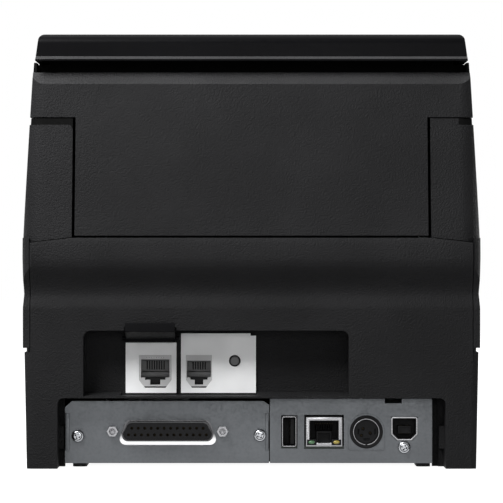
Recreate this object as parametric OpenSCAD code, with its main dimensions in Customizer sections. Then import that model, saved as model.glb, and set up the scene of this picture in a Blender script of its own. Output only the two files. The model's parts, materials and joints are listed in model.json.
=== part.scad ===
// Desk printer with a roll-paper receipt section behind and an impact slip section in front.
// +Y is the rear with the connectors, -Y the operator's side, Z up from the surface it stands on.

/* [Body] */
// Width across the side cases
body_w = 195.2; // [191:0.2:199]
// Depth from the lip of the slip table to the rear shoulder
body_d = 282; // [278:1:288]
// Height to the top panel
body_h = 185.8; // [183:0.1:190]
// Wall of the moulded cases
wall = 2.5; // [2.2:0.1:2.8]
// Radius of the rear vertical corners
corner_r = 9; // [7:0.5:10]
// Lean of the rear cover from vertical, in degrees
lean = 9.6; // [8.5:0.2:10.6]

/* [Covers] */
// Height of the seam between the rear wall and the receipt cover
seam_z = 98.4; // [97:0.2:100]
// Thickness of the top panel
slab_t = 11.6; // [10.4:0.1:12.6]
// Height of the dark groove under the top panel
groove_h = 4.6; // [3.6:0.1:5.2]
// Height of the wings of the receipt cover
wing_h = 19.6; // [18:0.2:21]
// Half width of the central panel of the receipt cover
panel_half = 75.2; // [74:0.2:76]
// Gap between the receipt cover and the pillars
cover_gap = 1.2; // [1:0.1:1.8]

/* [Rear wall] */
// Depth of the wall behind the shoulder line
wall_step = 4.5; // [4:0.1:5.5]
// Depth of the undercut behind the shoulder line
undercut = 6.5; // [6:0.1:7]
// Height of the shoulder line
shoulder_z = 89.8; // [88:0.2:91]
// Height of the seam groove round the side cases
groove_z = 49.7; // [49:0.1:51]
// Depth of the connector recess in front of the wall
recess_d = 15; // [14:0.2:16]
// Underside of the connector recess
recess_z = 32.6; // [32:0.1:33]
// Height of the connector recess
recess_h = 27; // [26.6:0.1:27.6]

/* [Connectors] */
// Distance of the two screw locks of the 25-way connector
lock_pitch = 47.04; // [46.9:0.02:47.2]
// Width of the 25-way connector's shell
shell_w = 38.96; // [38.6:0.02:39.4]
// Height of the 25-way connector's shell
shell_h = 8.36; // [8.2:0.02:8.6]
// Thickness of the connector panels
plate_t = 1.5; // [1.2:0.1:1.6]

/* [Receipt section] */
// Width of the paper roll
roll_w = 80; // [78:1:82]
// Depth that the compartment's walls and the hinge take behind and before the roll
roll_walls = 37; // [36:0.5:38]
// Radius of the platen roller
platen_r = 7; // [6.8:0.1:7.2]
// Stroke of the cutter blade
cutter_stroke = 10; // [8:0.5:10.5]

/* [Slip section] */
// Top face of the slip table
table_z = 49; // [48.5:0.1:49.3]
// Height of the slip throat
throat_h = 9; // [8.8:0.1:10]
// Depth of the upright slip path
path_gap = 4.5; // [4.4:0.1:5]
// Travel of the print carriage
carriage_travel = 100; // [96:1:100]
// Radius of the slip feed roller's sleeves
feed_r = 8.2; // [8:0.1:8.3]

/* [Feet] */
// Height that the rubber feet stand out
foot_h = 3.5; // [3.3:0.1:3.8]

/* [Hidden] */
$fn = 48;

case_black = [0.13, 0.13, 0.14];
part_black = [0.06, 0.06, 0.065];
steel = [0.62, 0.63, 0.65];
plate_grey = [0.42, 0.42, 0.44];
light_plate = [0.78, 0.78, 0.79];
gear_white = [0.85, 0.84, 0.8];

half_w = body_w / 2;
rear = body_d / 2;
front = -body_d / 2;
fit = 0.05;             // running clearance of a shaft in its bore
play = 0.3;             // clearance of pieces that pass each other

// Levels of the outside, from the floor up
leg_z = 0.2;
floor_z = foot_h;
flare_z = shoulder_z - 21.8;
undercut_z = shoulder_z - 15.3;
groove_top = groove_z + 1.9;
slab_z = body_h - slab_t;
deck_z = slab_z - groove_h;
skirt_z = deck_z - wing_h;
pillar_z = skirt_z - 3.2;

// Planes along the depth
wall_y = rear - wall_step;
base_front = front + 29;
unit_front = base_front - 1;
path_front = base_front + 74;
path_back = path_front + path_gap;
bezel_back = path_back + 40.5;
cover_front = bezel_back + 5.5;
recess_back = wall_y - recess_d;
panel_y = rear - 14;

// Receipt section
frame_half = roll_w / 2 + 10;
platen_y = bezel_back + 11;
platen_z = deck_z - 18.6;
roll_r = (rear - platen_y - roll_walls) / 2;
roll_y = rear - 26 - roll_r;
roll_z = seam_z + 24.6;
hinge_y = rear - 9.5;
hinge_z = seam_z + 3.6;
hinge_x = panel_half - 13.2;
face_y = rear - 2.6;     // rear cover's face at the seam
scoop_r = 7.8;

// Slip section
column_x = half_w - 37.6;
unit_left = -(half_w - 3.1);
unit_bottom = table_z + throat_h;
split_z = deck_z - 50.6;
front_hinge_y = path_front - 10;
front_hinge_z = deck_z - 10.6;
roof_y1 = path_front - 7.5;
roof_z1 = deck_z - 3.1;
roof_angle = 13;
nose_r = 12;
// lower end of the roof plane, where it runs into the rounded nose
roof_run = (roof_y1 - unit_front - nose_r + nose_r * sin(roof_angle)) / cos(roof_angle);
roof_y0 = roof_y1 - roof_run * cos(roof_angle);
roof_z0 = roof_z1 - roof_run * sin(roof_angle);
shaft_y = path_front - 32;
shaft_z = deck_z - 71.6;
carriage_x = column_x - 26;
belt_y = shaft_y - 24;
belt_z = shaft_z + 6;
drive_x = column_x - 17;
idler_x = unit_left + 12.5;
pulley_r = 6;
feed_y = path_back + feed_r - 0.2;
feed_z = unit_bottom + 0.45 * (shaft_z - unit_bottom);
pinch_r = 6;
cassette_z = shaft_z + 26.5;
ring_x = [for (i = [0:3]) unit_left + 24.5 + i * (column_x - unit_left - 46.5) / 3];
ring_w = 12;

// Gears
gear_m = 0.8;
mesh_play = 0.1;
train_angle = 251.1;
gear_x = frame_half + 6;
gear_w = 4.5;
idler_pos = [platen_y, platen_z] + (28 * gear_m + mesh_play) * [cos(train_angle), sin(train_angle)];
pinion_pos = idler_pos + (23 * gear_m + mesh_play) * [cos(train_angle), sin(train_angle)];
slip_pinion_z = feed_z + 19 * gear_m + mesh_play;

// ---- shapes used throughout ----
function arc(x, y, r, a0, a1, n = 6) =
    r <= 0 ? [[x, y]] : [for (i = [0:n]) let (a = a0 + (a1 - a0) * i / n) [x + r * cos(a), y + r * sin(a)]];
// Rectangle with a radius at each corner: lower left, lower right, upper right, upper left
function rounded(x0, y0, x1, y1, r, n = 5) = concat(
    arc(x0 + r[0], y0 + r[0], r[0], 180, 270, n), arc(x1 - r[1], y0 + r[1], r[1], 270, 360, n),
    arc(x1 - r[2], y1 - r[2], r[2], 0, 90, n), arc(x0 + r[3], y1 - r[3], r[3], 90, 180, n));
// Points of a smooth step from one (y, z) to another
function ease(a, b, n = 6) = [for (i = [1:n]) let (t = i / n, s = (1 - cos(180 * t)) / 2)
    [a[0] + (b[0] - a[0]) * s, a[1] + (b[1] - a[1]) * t]];
function gear_points(teeth, turn) = let (p = 360 / teeth) [for (i = [0:teeth - 1])
    for (c = [[-0.32, -1.15], [-0.13, 0.85], [0.13, 0.85], [0.32, -1.15]])
        let (a = turn + (i + c[0]) * p, r = (teeth / 2 + c[1]) * gear_m) [r * cos(a), r * sin(a)]];

module along_x(x0, x1) translate([x0, 0, 0]) rotate([90, 0, 90]) linear_extrude(x1 - x0) children();
module along_y(y0, y1) translate([0, y1, 0]) rotate([90, 0, 0]) linear_extrude(y1 - y0) children();
module along_z(z0, z1) translate([0, 0, z0]) linear_extrude(z1 - z0) children();
module block(lo, hi) translate(lo) cube(hi - lo);
module rod_x(x0, x1, y, z, r) translate([x0, y, z]) rotate([0, 90, 0]) cylinder(h = x1 - x0, r = r);
module rod_y(y0, y1, x, z, r) translate([x, y0, z]) rotate([-90, 0, 0]) cylinder(h = y1 - y0, r = r);
module rod_z(z0, z1, x, y, r) translate([x, y, z0]) cylinder(h = z1 - z0, r = r);
module both_sides() {
    children();
    mirror([1, 0, 0]) children();
}

// ---- outside form ----
outline_levels = [groove_z, groove_top, flare_z, undercut_z, shoulder_z, seam_z, deck_z];
function side_x(z) = half_w - lookup(z, [[0, 2], [groove_z, 0.9], [groove_top, 0.3], [flare_z, 0.3],
    [undercut_z, 0.8], [shoulder_z, 0], [seam_z, 0.1], [deck_z, 3.7], [body_h, 4.6]]);
function outline(z0, z1, t) = let (zs = concat([z0], [for (z = outline_levels) if (z > z0 && z < z1) z],
    [z1]))
    concat([for (z = zs) [side_x(z) - t, z]], [for (i = [len(zs) - 1:-1:0]) [t - side_x(zs[i]), zs[i]]]);
// Rear face of the lower wall: upright, out to the flare, in to the undercut, out to the shoulder
rear_line = concat([[wall_y, leg_z], [wall_y, flare_z]],
    ease([wall_y, flare_z], [rear - undercut, undercut_z], 5),
    ease([rear - undercut, undercut_z], [rear, shoulder_z], 9),
    [[rear - 0.2, shoulder_z + 3], [rear - 0.6, seam_z - 2.6], [rear - 1, seam_z - 1],
     [rear - 1.6, seam_z]]);

// Space that leans with the rear cover, t inside the outer face
module leaning(t) {
    r = corner_r - t;
    translate([0, face_y, seam_z]) rotate([lean, 0, 0]) translate([0, 0, -60]) linear_extrude(220)
        polygon(rounded(t - half_w, -260, half_w - t, -t, [0, 0, r, r], 9));
}

// Body above the seam between two heights, t inside the outer face
module upper_form(z0, z1, t) {
    intersection() {
        leaning(t);
        along_y(front, rear + 5) polygon(outline(z0, z1, t));
    }
}

module side_case(s, y0) {
    mirror([s < 0 ? 1 : 0, 0, 0]) {
        // side wall beside the rear wall
        intersection() {
            difference() {
                along_y(front, rear + 5) polygon(outline(groove_top, seam_z, 0));
                along_y(front - 1, wall_y - 3) polygon(outline(groove_top - 1, seam_z + 1, wall));
                block([-1, wall_y - 6, 0], [half_w - 3.2, rear + 9, body_h]);
            }
            along_x(0, half_w) polygon(concat([[y0, groove_top], [wall_y, groove_top]],
                [for (p = rear_line) if (p[1] > groove_top) p], [[y0, seam_z]]));
            along_z(0, body_h) polygon(rounded(-half_w, front, half_w, rear, [0, 0, 7, 7]));
            block([0, y0, 0], [half_w, rear + 5, body_h]);
        }
        // upper part with the rear pillar
        intersection() {
            difference() {
                upper_form(seam_z - 2.4, pillar_z, 0);
                upper_form(seam_z - 4, pillar_z + 1, wall);
            }
            along_y(y0, rear + 5) polygon(concat(
                [[panel_half + cover_gap, seam_z + 0.3], [half_w + 1, seam_z - 2.2], [half_w + 1, pillar_z]],
                arc(panel_half + cover_gap + 2, pillar_z - 2, 2, 90, 180, 4)));
            block([0, y0, 0], [half_w + 1, rear + 5, body_h]);
        }
        // lip behind the gap under the cover's wings
        intersection() {
            difference() {
                union() {
                    upper_form(pillar_z - 1, skirt_z - 0.4, 0.5);
                    upper_form(pillar_z - 1, skirt_z + 2.4, wall + 0.4);
                }
                upper_form(pillar_z - 5, skirt_z + 3, wall + 1.6);
            }
            block([panel_half + cover_gap, cover_front, pillar_z - 4], [half_w, rear, skirt_z + 3]);
        }
        // return flange of the pillar
        intersection() {
            upper_form(seam_z + 0.5, pillar_z - 2, 0.2);
            block([panel_half + cover_gap, rear - 26, seam_z], [panel_half + cover_gap + 2, rear, pillar_z]);
            translate([0, -2, 0]) leaning(0);
        }
    }
}

module case_left() {
    color(case_black) union() {
        side_case(-1, path_back);
        // front flange beside the slip path
        block([-side_x(seam_z) + 1, path_back, groove_top], [-side_x(seam_z) + 6, path_back + wall,
            pillar_z]);
    }
}

// Roof line of the front section, t inside the outer face
function roof_line(z0, t) = concat([[unit_front + t, z0]],
    arc(unit_front + nose_r, roof_z0 - nose_r * cos(roof_angle), nose_r - t, 180, 90 + roof_angle, 7),
    [[roof_y1 + t * sin(roof_angle), roof_z1 - t * cos(roof_angle)]]);

module case_right() {
    x0 = column_x;
    color(case_black) {
        side_case(1, path_back);
        // column that carries the control panel
        difference() {
            intersection() {
                along_x(x0, half_w) polygon(concat(roof_line(groove_top, 0), [[path_back, deck_z],
                    [path_back, groove_top]]));
                along_y(front, rear) polygon(outline(groove_top, deck_z, 0));
                along_z(0, body_h) polygon(rounded(-half_w, unit_front, half_w, rear, [0, 9, 0, 0]));
            }
            intersection() {
                along_x(x0 - 1, half_w) polygon(concat(roof_line(groove_top - 1, wall),
                    [[path_back + 1, deck_z - wall], [path_back + 1, groove_top - 1]]));
                along_y(front, rear) polygon(outline(groove_top - 1, deck_z, wall));
                along_z(0, body_h) polygon(rounded(-half_w, unit_front + wall, half_w - wall, rear,
                    [0, 9 - wall, 0, 0]));
            }
            on_roof() block([console_x0, 6, -9], [console_x1, 52, 9]);
        }
    }
}

// Rear wall, connector recess, legs and floor tray in one moulding
module lower_case() {
    color(case_black) difference() {
        union() {
            lower_tray();
            rear_wall();
            recess_box();
            // soffit over the metal panels and the inner walls of the legs
            block([-leg_x - wall, recess_back - 2, recess_z - 2.4], [leg_x + wall, wall_y, recess_z - 0.6]);
            both_sides() block([leg_x, recess_back - 2, leg_z], [leg_x + wall, wall_y, recess_z - 0.6]);
            switch_cheeks();
        }
        // cut-out for the metal panels
        along_y(recess_back + 0.01, rear) polygon(rounded(-leg_x, -5, leg_x, recess_z - 2.4,
            [0, 0, 2.5, 2.5]));
        // seat for the lower edge of the receipt cover
        rod_x(-panel_half - cover_gap, panel_half + cover_gap, hinge_y, hinge_z, scoop_r);
        recess_opening();
        flap_notch();
        block([switch_x - 11.3, base_front - 1, switch_z - 7.5],
            [switch_x + 11.3, base_front + 4, switch_z + 7.5]);
        both_sides() for (y = foot_y)
            block([foot_x - 3, y - 9, 0], [foot_x + 3, y + 9, floor_z + 0.8]);
    }
    // backs of the channels beside the metal panels, with their snap hooks
    color(case_black) {
        both_sides() block([leg_x - 2.4, recess_back - 2, leg_z],
            [leg_x + 1, recess_back + 1.5, recess_z - 2]);
        block([-leg_x - 1, recess_back - 2, leg_z], [4.9 - leg_x, recess_back - 0.5, recess_z - 2]);
        both_sides() block([leg_x - 2.2, panel_y - 6, 8.2], [leg_x + 1, panel_y + 1, 17.8]);
    }
}

leg_x = half_w - 15;
foot_x = leg_x - 8.6;
foot_y = [base_front + 14, panel_y - 15];
switch_x = 27.6 - half_w;
switch_z = 25;
recess_x0 = -41.4;
recess_x1 = 71.6;
recess_top = recess_z - 0.6 + recess_h;

module lower_tray() {
    difference() {
        intersection() {
            along_y(base_front, wall_y) polygon(outline(leg_z, groove_z, 0));
            along_z(0, groove_z) polygon(rounded(-half_w, base_front, half_w, wall_y, [8, 8, 5, 5]));
        }
        intersection() {
            along_y(base_front + wall, wall_y - wall) polygon(outline(floor_z + 2, groove_z + 1, wall));
            along_z(0, groove_z + 1) polygon(rounded(wall - half_w, base_front + wall, half_w - wall,
                wall_y - wall, [5.5, 5.5, 2.5, 2.5]));
        }
        intersection() {
            along_y(base_front + wall, wall_y - wall) polygon(outline(0, floor_z, wall));
            along_z(-1, floor_z) polygon(rounded(wall - half_w, base_front + wall, half_w - wall,
                wall_y - wall, [5.5, 5.5, 2.5, 2.5]));
        }
        // step down for the slip table
        block([-half_w - 1, base_front - 1, table_z - 3], [column_x, path_back + wall, groove_z + 1]);
    }
    // lip behind the groove under the side cases
    difference() {
        along_z(groove_z - 1, groove_top) polygon(rounded(lip_in - half_w, base_front + lip_in,
            half_w - lip_in,
            wall_y - lip_in, [6.5, 6.5, 3.5, 3.5]));
        along_z(groove_z - 2, groove_top + 1) polygon(rounded(lip_in + 1.2 - half_w, base_front + lip_in +
            1.2,
            half_w - lip_in - 1.2, wall_y - lip_in - 1.2, [5.3, 5.3, 2.3, 2.3]));
        block([-half_w - 1, base_front - 1, groove_z - 2], [column_x, path_back + wall, groove_top + 1]);
    }
}
lip_in = 1.6;

module rear_wall() {
    intersection() {
        along_x(-half_w + 3.5, half_w - 3.5) polygon(concat([for (p = rear_line) if (p[1] > 20) p],
            [[rear - 1.6 - wall, seam_z]],
            [for (i = [len(rear_line) - 1:-1:0]) if (rear_line[i][1] > 20) rear_line[i] - [wall, 0]],
            [[wall_y - wall, groove_z - 4], [wall_y, groove_z - 4]]));
        along_y(0, rear + 1) polygon([[-half_w, groove_z - 4], [half_w, groove_z - 4], [half_w, seam_z - 2.4],
            [panel_half + 1, seam_z], [-panel_half - 1, seam_z], [-half_w, seam_z - 2.4]]);
        along_z(0, body_h) polygon(rounded(-half_w, front, half_w, rear, [0, 0, 7, 7]));
    }
}

module recess_box() {
    difference() {
        block([recess_x0 - 2, recess_back - 2, recess_z - 2.2], [recess_x1 + 2, wall_y - 1, recess_top + 2]);
        recess_opening();
        // window for the jacks
        block([-1, recess_back - 3, recess_z + 0.9], [53.2, recess_back + 1, 53]);
    }
    // frame round the display jack, with the ears of the port flap
    for (x = [[30.4, 32.2], [54.2, 56]])
        difference() {
            block([x[0], recess_back - 1, recess_z - 1.8], [x[1], recess_back + 6, flap_z + 2.2]);
            rod_x(x[0] - 1, x[1] + 1, flap_y, flap_z, 1 + fit);
        }
}

module recess_opening() {
    intersection() {
        along_y(recess_back, rear + 1) polygon(rounded(recess_x0, recess_z - 3, recess_x1, recess_top,
            [0, 0, 3.2, 3.2], 7));
        along_x(recess_x0, recess_x1) polygon([[recess_back, recess_z - 0.3], [wall_y, recess_z - 1.6],
            [rear + 1, recess_z - 1.6], [rear + 1, body_h], [recess_back, body_h]]);
    }
    // slot in the floor before the jack plates
    block([-2.2, recess_back, recess_z - 1.5], [56, wall_y - 4, recess_z + 3]);
}

module switch_cheeks() {
    difference() {
        for (x = [switch_x - 13.5, switch_x + 11.4])
            block([x, base_front + 0.5, switch_z - 8], [x + 2.1, base_front + 9, switch_z + 8]);
        rod_x(switch_x - 14, switch_x + 14, rocker_y, switch_z, 1.5 + fit);
    }
}
rocker_y = base_front + 4.1;

// ---- receipt cover ----
module receipt_cover() {
    t_shape = [[-panel_half, seam_z + 0.9], [panel_half, seam_z + 0.9], [panel_half, skirt_z],
        [half_w + 1, skirt_z], [half_w + 1, body_h], [-half_w - 1, body_h], [-half_w - 1, skirt_z],
        [-panel_half, skirt_z]];
    color(case_black) difference() {
        union() {
            difference() {
                intersection() {
                    upper_form(seam_z, deck_z, 0);
                    along_y(front, rear + 5) polygon(t_shape);
                    cover_space(0);
                }
                intersection() {
                    upper_form(seam_z - 1, deck_z - wall, wall);
                    cover_space(wall);
                }
            }
            // lip over the paper slot
            block([-frame_half, cover_front, blade_z + 3.2], [frame_half, cover_front + wall, deck_z - 1]);
            // side walls that close the ends of the groove
            both_sides() intersection() {
                upper_form(deck_z - 1, slab_z - play, 0);
                block([side_x(slab_z) - 1.2, cover_front + 8, deck_z - 1], [half_w, rear, slab_z]);
                translate([0, -3, 0]) leaning(0);
            }
            // neck that carries the top panel
            block([-side_x(deck_z) + 6, cover_front + 8, deck_z - 1],
                [side_x(deck_z) - 6, neck_back, slab_z + 2]);
            // its foot reaches the side walls
            block([1 - side_x(slab_z), cover_front + 8, deck_z - 1],
                [side_x(slab_z) - 1, neck_back, slab_z - play]);
            // return flanges of the central panel
            both_sides() intersection() {
                upper_form(seam_z + 2, skirt_z + 4, 0.2);
                block([panel_half - 2, rear - 26, seam_z], [panel_half, rear, skirt_z + 4]);
                translate([0, -2, 0]) leaning(0);
            }
            hinge_knuckles();
            platen_arms();
            block([-frame_half + 6, platen_y + 3, platen_z + 13.4],
                [frame_half - 6, platen_y + 8, deck_z - 1]);
        }
        rod_x(-hinge_x - 12, hinge_x + 12, hinge_y, hinge_z, 2 + fit);
        rod_x(-frame_half - 6, frame_half + 6, platen_y, platen_z, 3 + fit);
    }
}
neck_back = rear - 34;

// Space of the cover seen from the side, with the bevelled band along its upper edge
band_h = 5.2;
band_angle = 40;
module cover_space(t) {
    back = face_y - (deck_z - band_h - seam_z) * tan(lean) - t * cos(band_angle);
    top = deck_z - band_h - t * sin(band_angle);
    rise = deck_z - t - top;
    along_x(-half_w, half_w) polygon([[cover_front - t, 0], [rear + 20, 0],
        [back + 30 * tan(band_angle), top - 30], [back - rise * tan(band_angle), deck_z - t],
        [cover_front - t, deck_z - t]]);
}

module hinge_knuckles() {
    both_sides() {
        rod_x(hinge_x + 1.8, hinge_x + 9, hinge_y, hinge_z, 4.2);
        block([hinge_x + 1.8, hinge_y, hinge_z], [hinge_x + 9, hinge_y + 5.2, hinge_z + 4.2]);
    }
}

module platen_arms() {
    both_sides() along_x(frame_half + 2.5, frame_half + 5) polygon(concat(
        arc(platen_y, platen_z, 6.5, 180, 360, 10), [[platen_y + 14, deck_z - 1],
        [platen_y - 3, deck_z - 1]]));
}

module top_panel() {
    x0 = side_x(slab_z) - 1;
    color(part_black) difference() {
        intersection() {
            along_y(cover_front, rear) polygon(concat([[-x0, slab_z], [x0, slab_z]],
                arc(x0 - 4.2, body_h - 3, 3, 0, 90, 7), arc(4.2 - x0, body_h - 3, 3, 90, 180, 7)));
            along_x(-half_w, half_w) polygon(slab_side(0));
        }
        intersection() {
            block([wall - x0, cover_front, slab_z - 1], [x0 - wall, rear, body_h - wall]);
            along_x(-half_w, half_w) polygon(slab_side(wall));
        }
    }
}
slab_back = rear - 11.5;
function slab_side(t) = concat([[cover_front + t, slab_z - t], [slab_back - t, slab_z - t]],
    t > 0 ? [] : [[slab_back, slab_z + 0.8], [slab_back - 0.9, slab_z + 1.9]],
    arc(slab_back - 5.1, body_h - 4.2, 4.2 - t, 0, 90, 6),
    arc(cover_front + 5, body_h - 9, 5 - t, 92, 180, 6));

module top_bezel() {
    back = cover_front - 1.2;
    color(case_black) difference() {
        intersection() {
            upper_form(pillar_z + 1.5, deck_z, 0);
            block([-half_w, path_back, 0], [half_w, back, deck_z]);
        }
        intersection() {
            upper_form(pillar_z, deck_z - wall, wall);
            block([-half_w, path_back + wall, 0], [half_w, back - wall, deck_z]);
        }
        // mouth of the receipt slot
        block([-slot_half, bezel_back, 0], [slot_half, back + 1, body_h]);
        // openings over the cutter and the gear train
        block([-gear_x - 8, back - wall - 1, pillar_z], [gear_x + 8, back + 1, deck_z - wall]);
        intersection() {
            upper_form(pillar_z, deck_z - wall, wall);
            block([-half_w, back - wall - 1, pillar_z], [half_w, back + 1, platen_z + 6]);
        }
        block([-half_w + 10, path_back - 1, 0], [column_x + 20, path_back + wall + 1, pillar_z + 1.6]);
        open_button_slot(play);
    }
}
slot_half = roll_w / 2 + 5;
button_x = half_w - 23.6;
module open_button_slot(g) along_z(deck_z - 12, deck_z + 1) polygon(rounded(button_x - 8 - g,
    path_back + 10 - g, button_x + 8 + g, path_back + 28 + g, [2, 2, 2, 2]));

module cover_open_button() {
    color(part_black) {
        along_z(deck_z - 8, deck_z + 1.6) polygon(rounded(button_x - 8, path_back + 10, button_x + 8,
            path_back + 28, [2, 2, 2, 2]));
        block([button_x - 9.5, path_back + 8.5, deck_z - 8], [button_x + 9.5, path_back + 29.5,
            deck_z - wall - 0.6]);
    }
}

// ---- front section ----
module front_case() {
    r = 8;
    profile = concat(arc(unit_front + r, unit_bottom + r, r, 180, 270),
        arc(path_front - 5, unit_bottom + 5, 5, 270, 360),
        [[path_front, platen_z], [unit_front, platen_z]]);
    hollow = concat(arc(unit_front + r, unit_bottom + r, r - wall, 180, 270),
        arc(path_front - 5, unit_bottom + 5, 5 - wall, 270, 360),
        [[path_front - wall, body_h], [unit_front + wall, body_h]]);
    color(case_black) difference() {
        union() {
            difference() {
                intersection() {
                    along_x(unit_left, column_x - 0.5) polygon(profile);
                    along_z(0, body_h) polygon(rounded(unit_left, unit_front, column_x - 0.5, path_front,
                        [9, 0, 0, 0]));
                }
                intersection() {
                    along_x(unit_left + wall, column_x + 1) polygon(hollow);
                    along_z(0, body_h) polygon(rounded(unit_left + wall, unit_front + wall, column_x + 1,
                        path_front, [9 - wall, 0, 0, 0]));
                }
                block([unit_left - 1, unit_front - 1, split_z], [column_x + 1, path_front - wall, body_h]);
            }
            // bosses of the guide shaft and the pinch roller
            rod_x(unit_left + 1, unit_left + wall + 4, shaft_y, shaft_z, 8);
            for (x = [[unit_left + 1, unit_left + 9], [column_x - 4.5, column_x - 0.5]])
                block([x[0], path_front - 6.5, feed_z - 5], [x[1], path_front - 1, feed_z + 5]);
            // post of the idler pulley
            rod_z(unit_bottom + 1, belt_z - 1.2, idler_x, belt_y, 5);
            rod_z(unit_bottom + 1, belt_z + 8, idler_x, belt_y, 2);
            // ear of the front cover
            block([unit_left + wall + 0.3, front_hinge_y - 5, split_z - 8],
                [unit_left + wall + 2.8, front_hinge_y + 4,
                front_hinge_z]);
            rod_x(unit_left + wall + 0.3, unit_left + wall + 2.8, front_hinge_y, front_hinge_z, 4);
            block([unit_left + 1, front_hinge_y - 5, split_z - 12],
                [unit_left + wall + 2.8, front_hinge_y + 4, split_z - 2]);
            // rests of the ribbon cassette
            block([unit_left + 11.4, path_front - 5.4, cassette_z - 2.4],
                [column_x - 9.6, path_front - 1, cassette_z - 0.2]);
            along_x(unit_left + 12, column_x - 8) polygon([[unit_front + 1, split_z - 19],
                [unit_front + 5.4, split_z - 15],
                [unit_front + 5.4, cassette_z - 2.4], [unit_front + 9, cassette_z - 2.4],
                [unit_front + 9, cassette_z - 0.2],
                [unit_front + 3.2, cassette_z - 0.2], [unit_front + 3.2, split_z - 14],
                [unit_front + 1, split_z - 14]]);
        }
        // windows for the print head and the pinch roller
        block([carriage_x - carriage_travel - 20.5, path_front - wall - 1, shaft_z + 4],
            [column_x - 5.5, path_front + 1, cassette_z - 2.4]);
        block([unit_left + 9, path_front - wall - 1, feed_z - 7],
            [column_x - 4.6, path_front + 1, feed_z + 7]);
        rod_x(unit_left + 2, column_x, path_front - 2, feed_z, 1.5 + fit);
        rod_x(unit_left + wall, unit_left + 9, shaft_y, shaft_z, 4);
        rod_x(unit_left + wall - 0.5, unit_left + 9, front_hinge_y, front_hinge_z, 2 + fit);
    }
}

module front_cover() {
    inner_end = roof_y1 + 2;
    color(case_black) difference() {
        union() {
            intersection() {
                along_x(unit_left, column_x - 0.5) polygon(concat(roof_line(split_z + 1, 0),
                    [[roof_y1 + 1.5, roof_z1 - 3],
                    [roof_y1 + 1.5, split_z + 1]]));
                along_z(0, body_h) polygon(rounded(unit_left, unit_front, column_x - 0.5, path_front,
                    [9, 0, 0, 0]));
            }
        }
        intersection() {
            along_x(unit_left + wall, column_x - 0.5 - wall) polygon(concat(roof_line(split_z - 1, wall),
                [[inner_end, roof_z1 - wall], [inner_end, split_z - 1]]));
            along_z(0, body_h) polygon(rounded(unit_left + wall, unit_front + wall, column_x - 0.5 - wall,
                path_front,
                [9 - wall, 0, 0, 0]));
        }
        along_x(unit_left - 1, column_x) polygon([[front_hinge_y + 4.5, 0], [path_front, 0],
            [path_front, roof_z1 - wall - 4],
            [front_hinge_y + 4.5, roof_z1 - wall - 6]]);
    }
    color(case_black) {
        rod_x(unit_left + wall - 0.5, unit_left + wall + 3, front_hinge_y, front_hinge_z, 2);
        rod_x(column_x - 3, column_x + 1.7, front_hinge_y, front_hinge_z, 2);
    }
}

// Slip table with its side fence
module slip_table() {
    x1 = column_x - 0.5;
    color(case_black) difference() {
        union() {
            intersection() {
                along_x(-half_w + 1, x1) polygon(concat(arc(front + 4, table_z - 7, 4, 180, 250, 4),
                    [[front + 5, table_z - 10], [front + 6, table_z - 3], [path_back - 0.2, table_z - 3],
                    [path_back - 0.2, table_z]],
                    arc(front + 5, table_z - 5, 5, 90, 180, 5)));
                along_z(0, body_h) polygon(rounded(-half_w + 1, front, x1, path_back + 1, [10, 3, 0, 0]));
            }
            block([x1 - 2, base_front + 2, table_z - 1], [x1, path_front - 8, unit_bottom - 0.3]);
            // ribs that the slip slides on
            for (x = [-80:20:40]) block([x, front + 12, table_z - 1],
                [x + 1.2, path_front - 10, table_z + 0.4]);
        }
    }
}

// Frame of the sloping console: y runs up the slope, z is its normal
module on_roof() translate([0, roof_y0, roof_z0]) rotate([roof_angle, 0, 0]) children();
console_x0 = column_x + 7;
console_x1 = console_x0 + 20;
button_v = [13, 24, 35];
module console_hole(i, g, z0, z1) along_z(z0, z1) polygon(rounded(console_x0 + 3 - g, button_v[i] - 3.5 - g,
    console_x1 - 3 + g, button_v[i] + 3.5 + g, [1.5, 1.5, 1.5, 1.5], 3));

module control_panel() {
    color(part_black) on_roof() difference() {
        union() {
            block([console_x0 + 0.2, 6.2, -wall - 0.1], [console_x1 - 0.2, 51.8, 0.3]);
            block([console_x0 - 1.5, 4.5, -wall - 1.2], [console_x1 + 1.5, 53.5, -wall]);
        }
        for (i = [0:2]) console_hole(i, play, -9, 3);
        for (i = [0:3]) rod_z(-9, 3, console_x0 + 4 + 4 * i, 46, 1.2);
    }
}
module console_button(i) {
    color(case_black) on_roof() {
        console_hole(i, 0, -wall - 2, 1.4);
        block([console_x0 + 1.8, button_v[i] - 4.5, -wall - 3],
            [console_x1 - 1.8, button_v[i] + 4.5, -wall - 1.5]);
    }
}
module receipt_feed_button() console_button(0);
module slip_feed_button() console_button(1);
module release_button() console_button(2);
module indicator_lenses() color([0.25, 0.6, 0.3]) on_roof()
    for (i = [0:3]) rod_z(-wall - 1.2, 0.5, console_x0 + 4 + 4 * i, 46, 1.2);

module power_rocker() {
    color(part_black) translate([0, rocker_y, switch_z]) rotate([-8, 0, 0]) {
        along_x(switch_x - 11, switch_x + 11) polygon([[3, -4.5], [3, 4.5], [-4.2, 6.4], [-3, 0],
            [-4.2, -6.4]]);
        rod_x(switch_x - 13, switch_x + 13, 0, 0, 1.5);
    }
}

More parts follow.
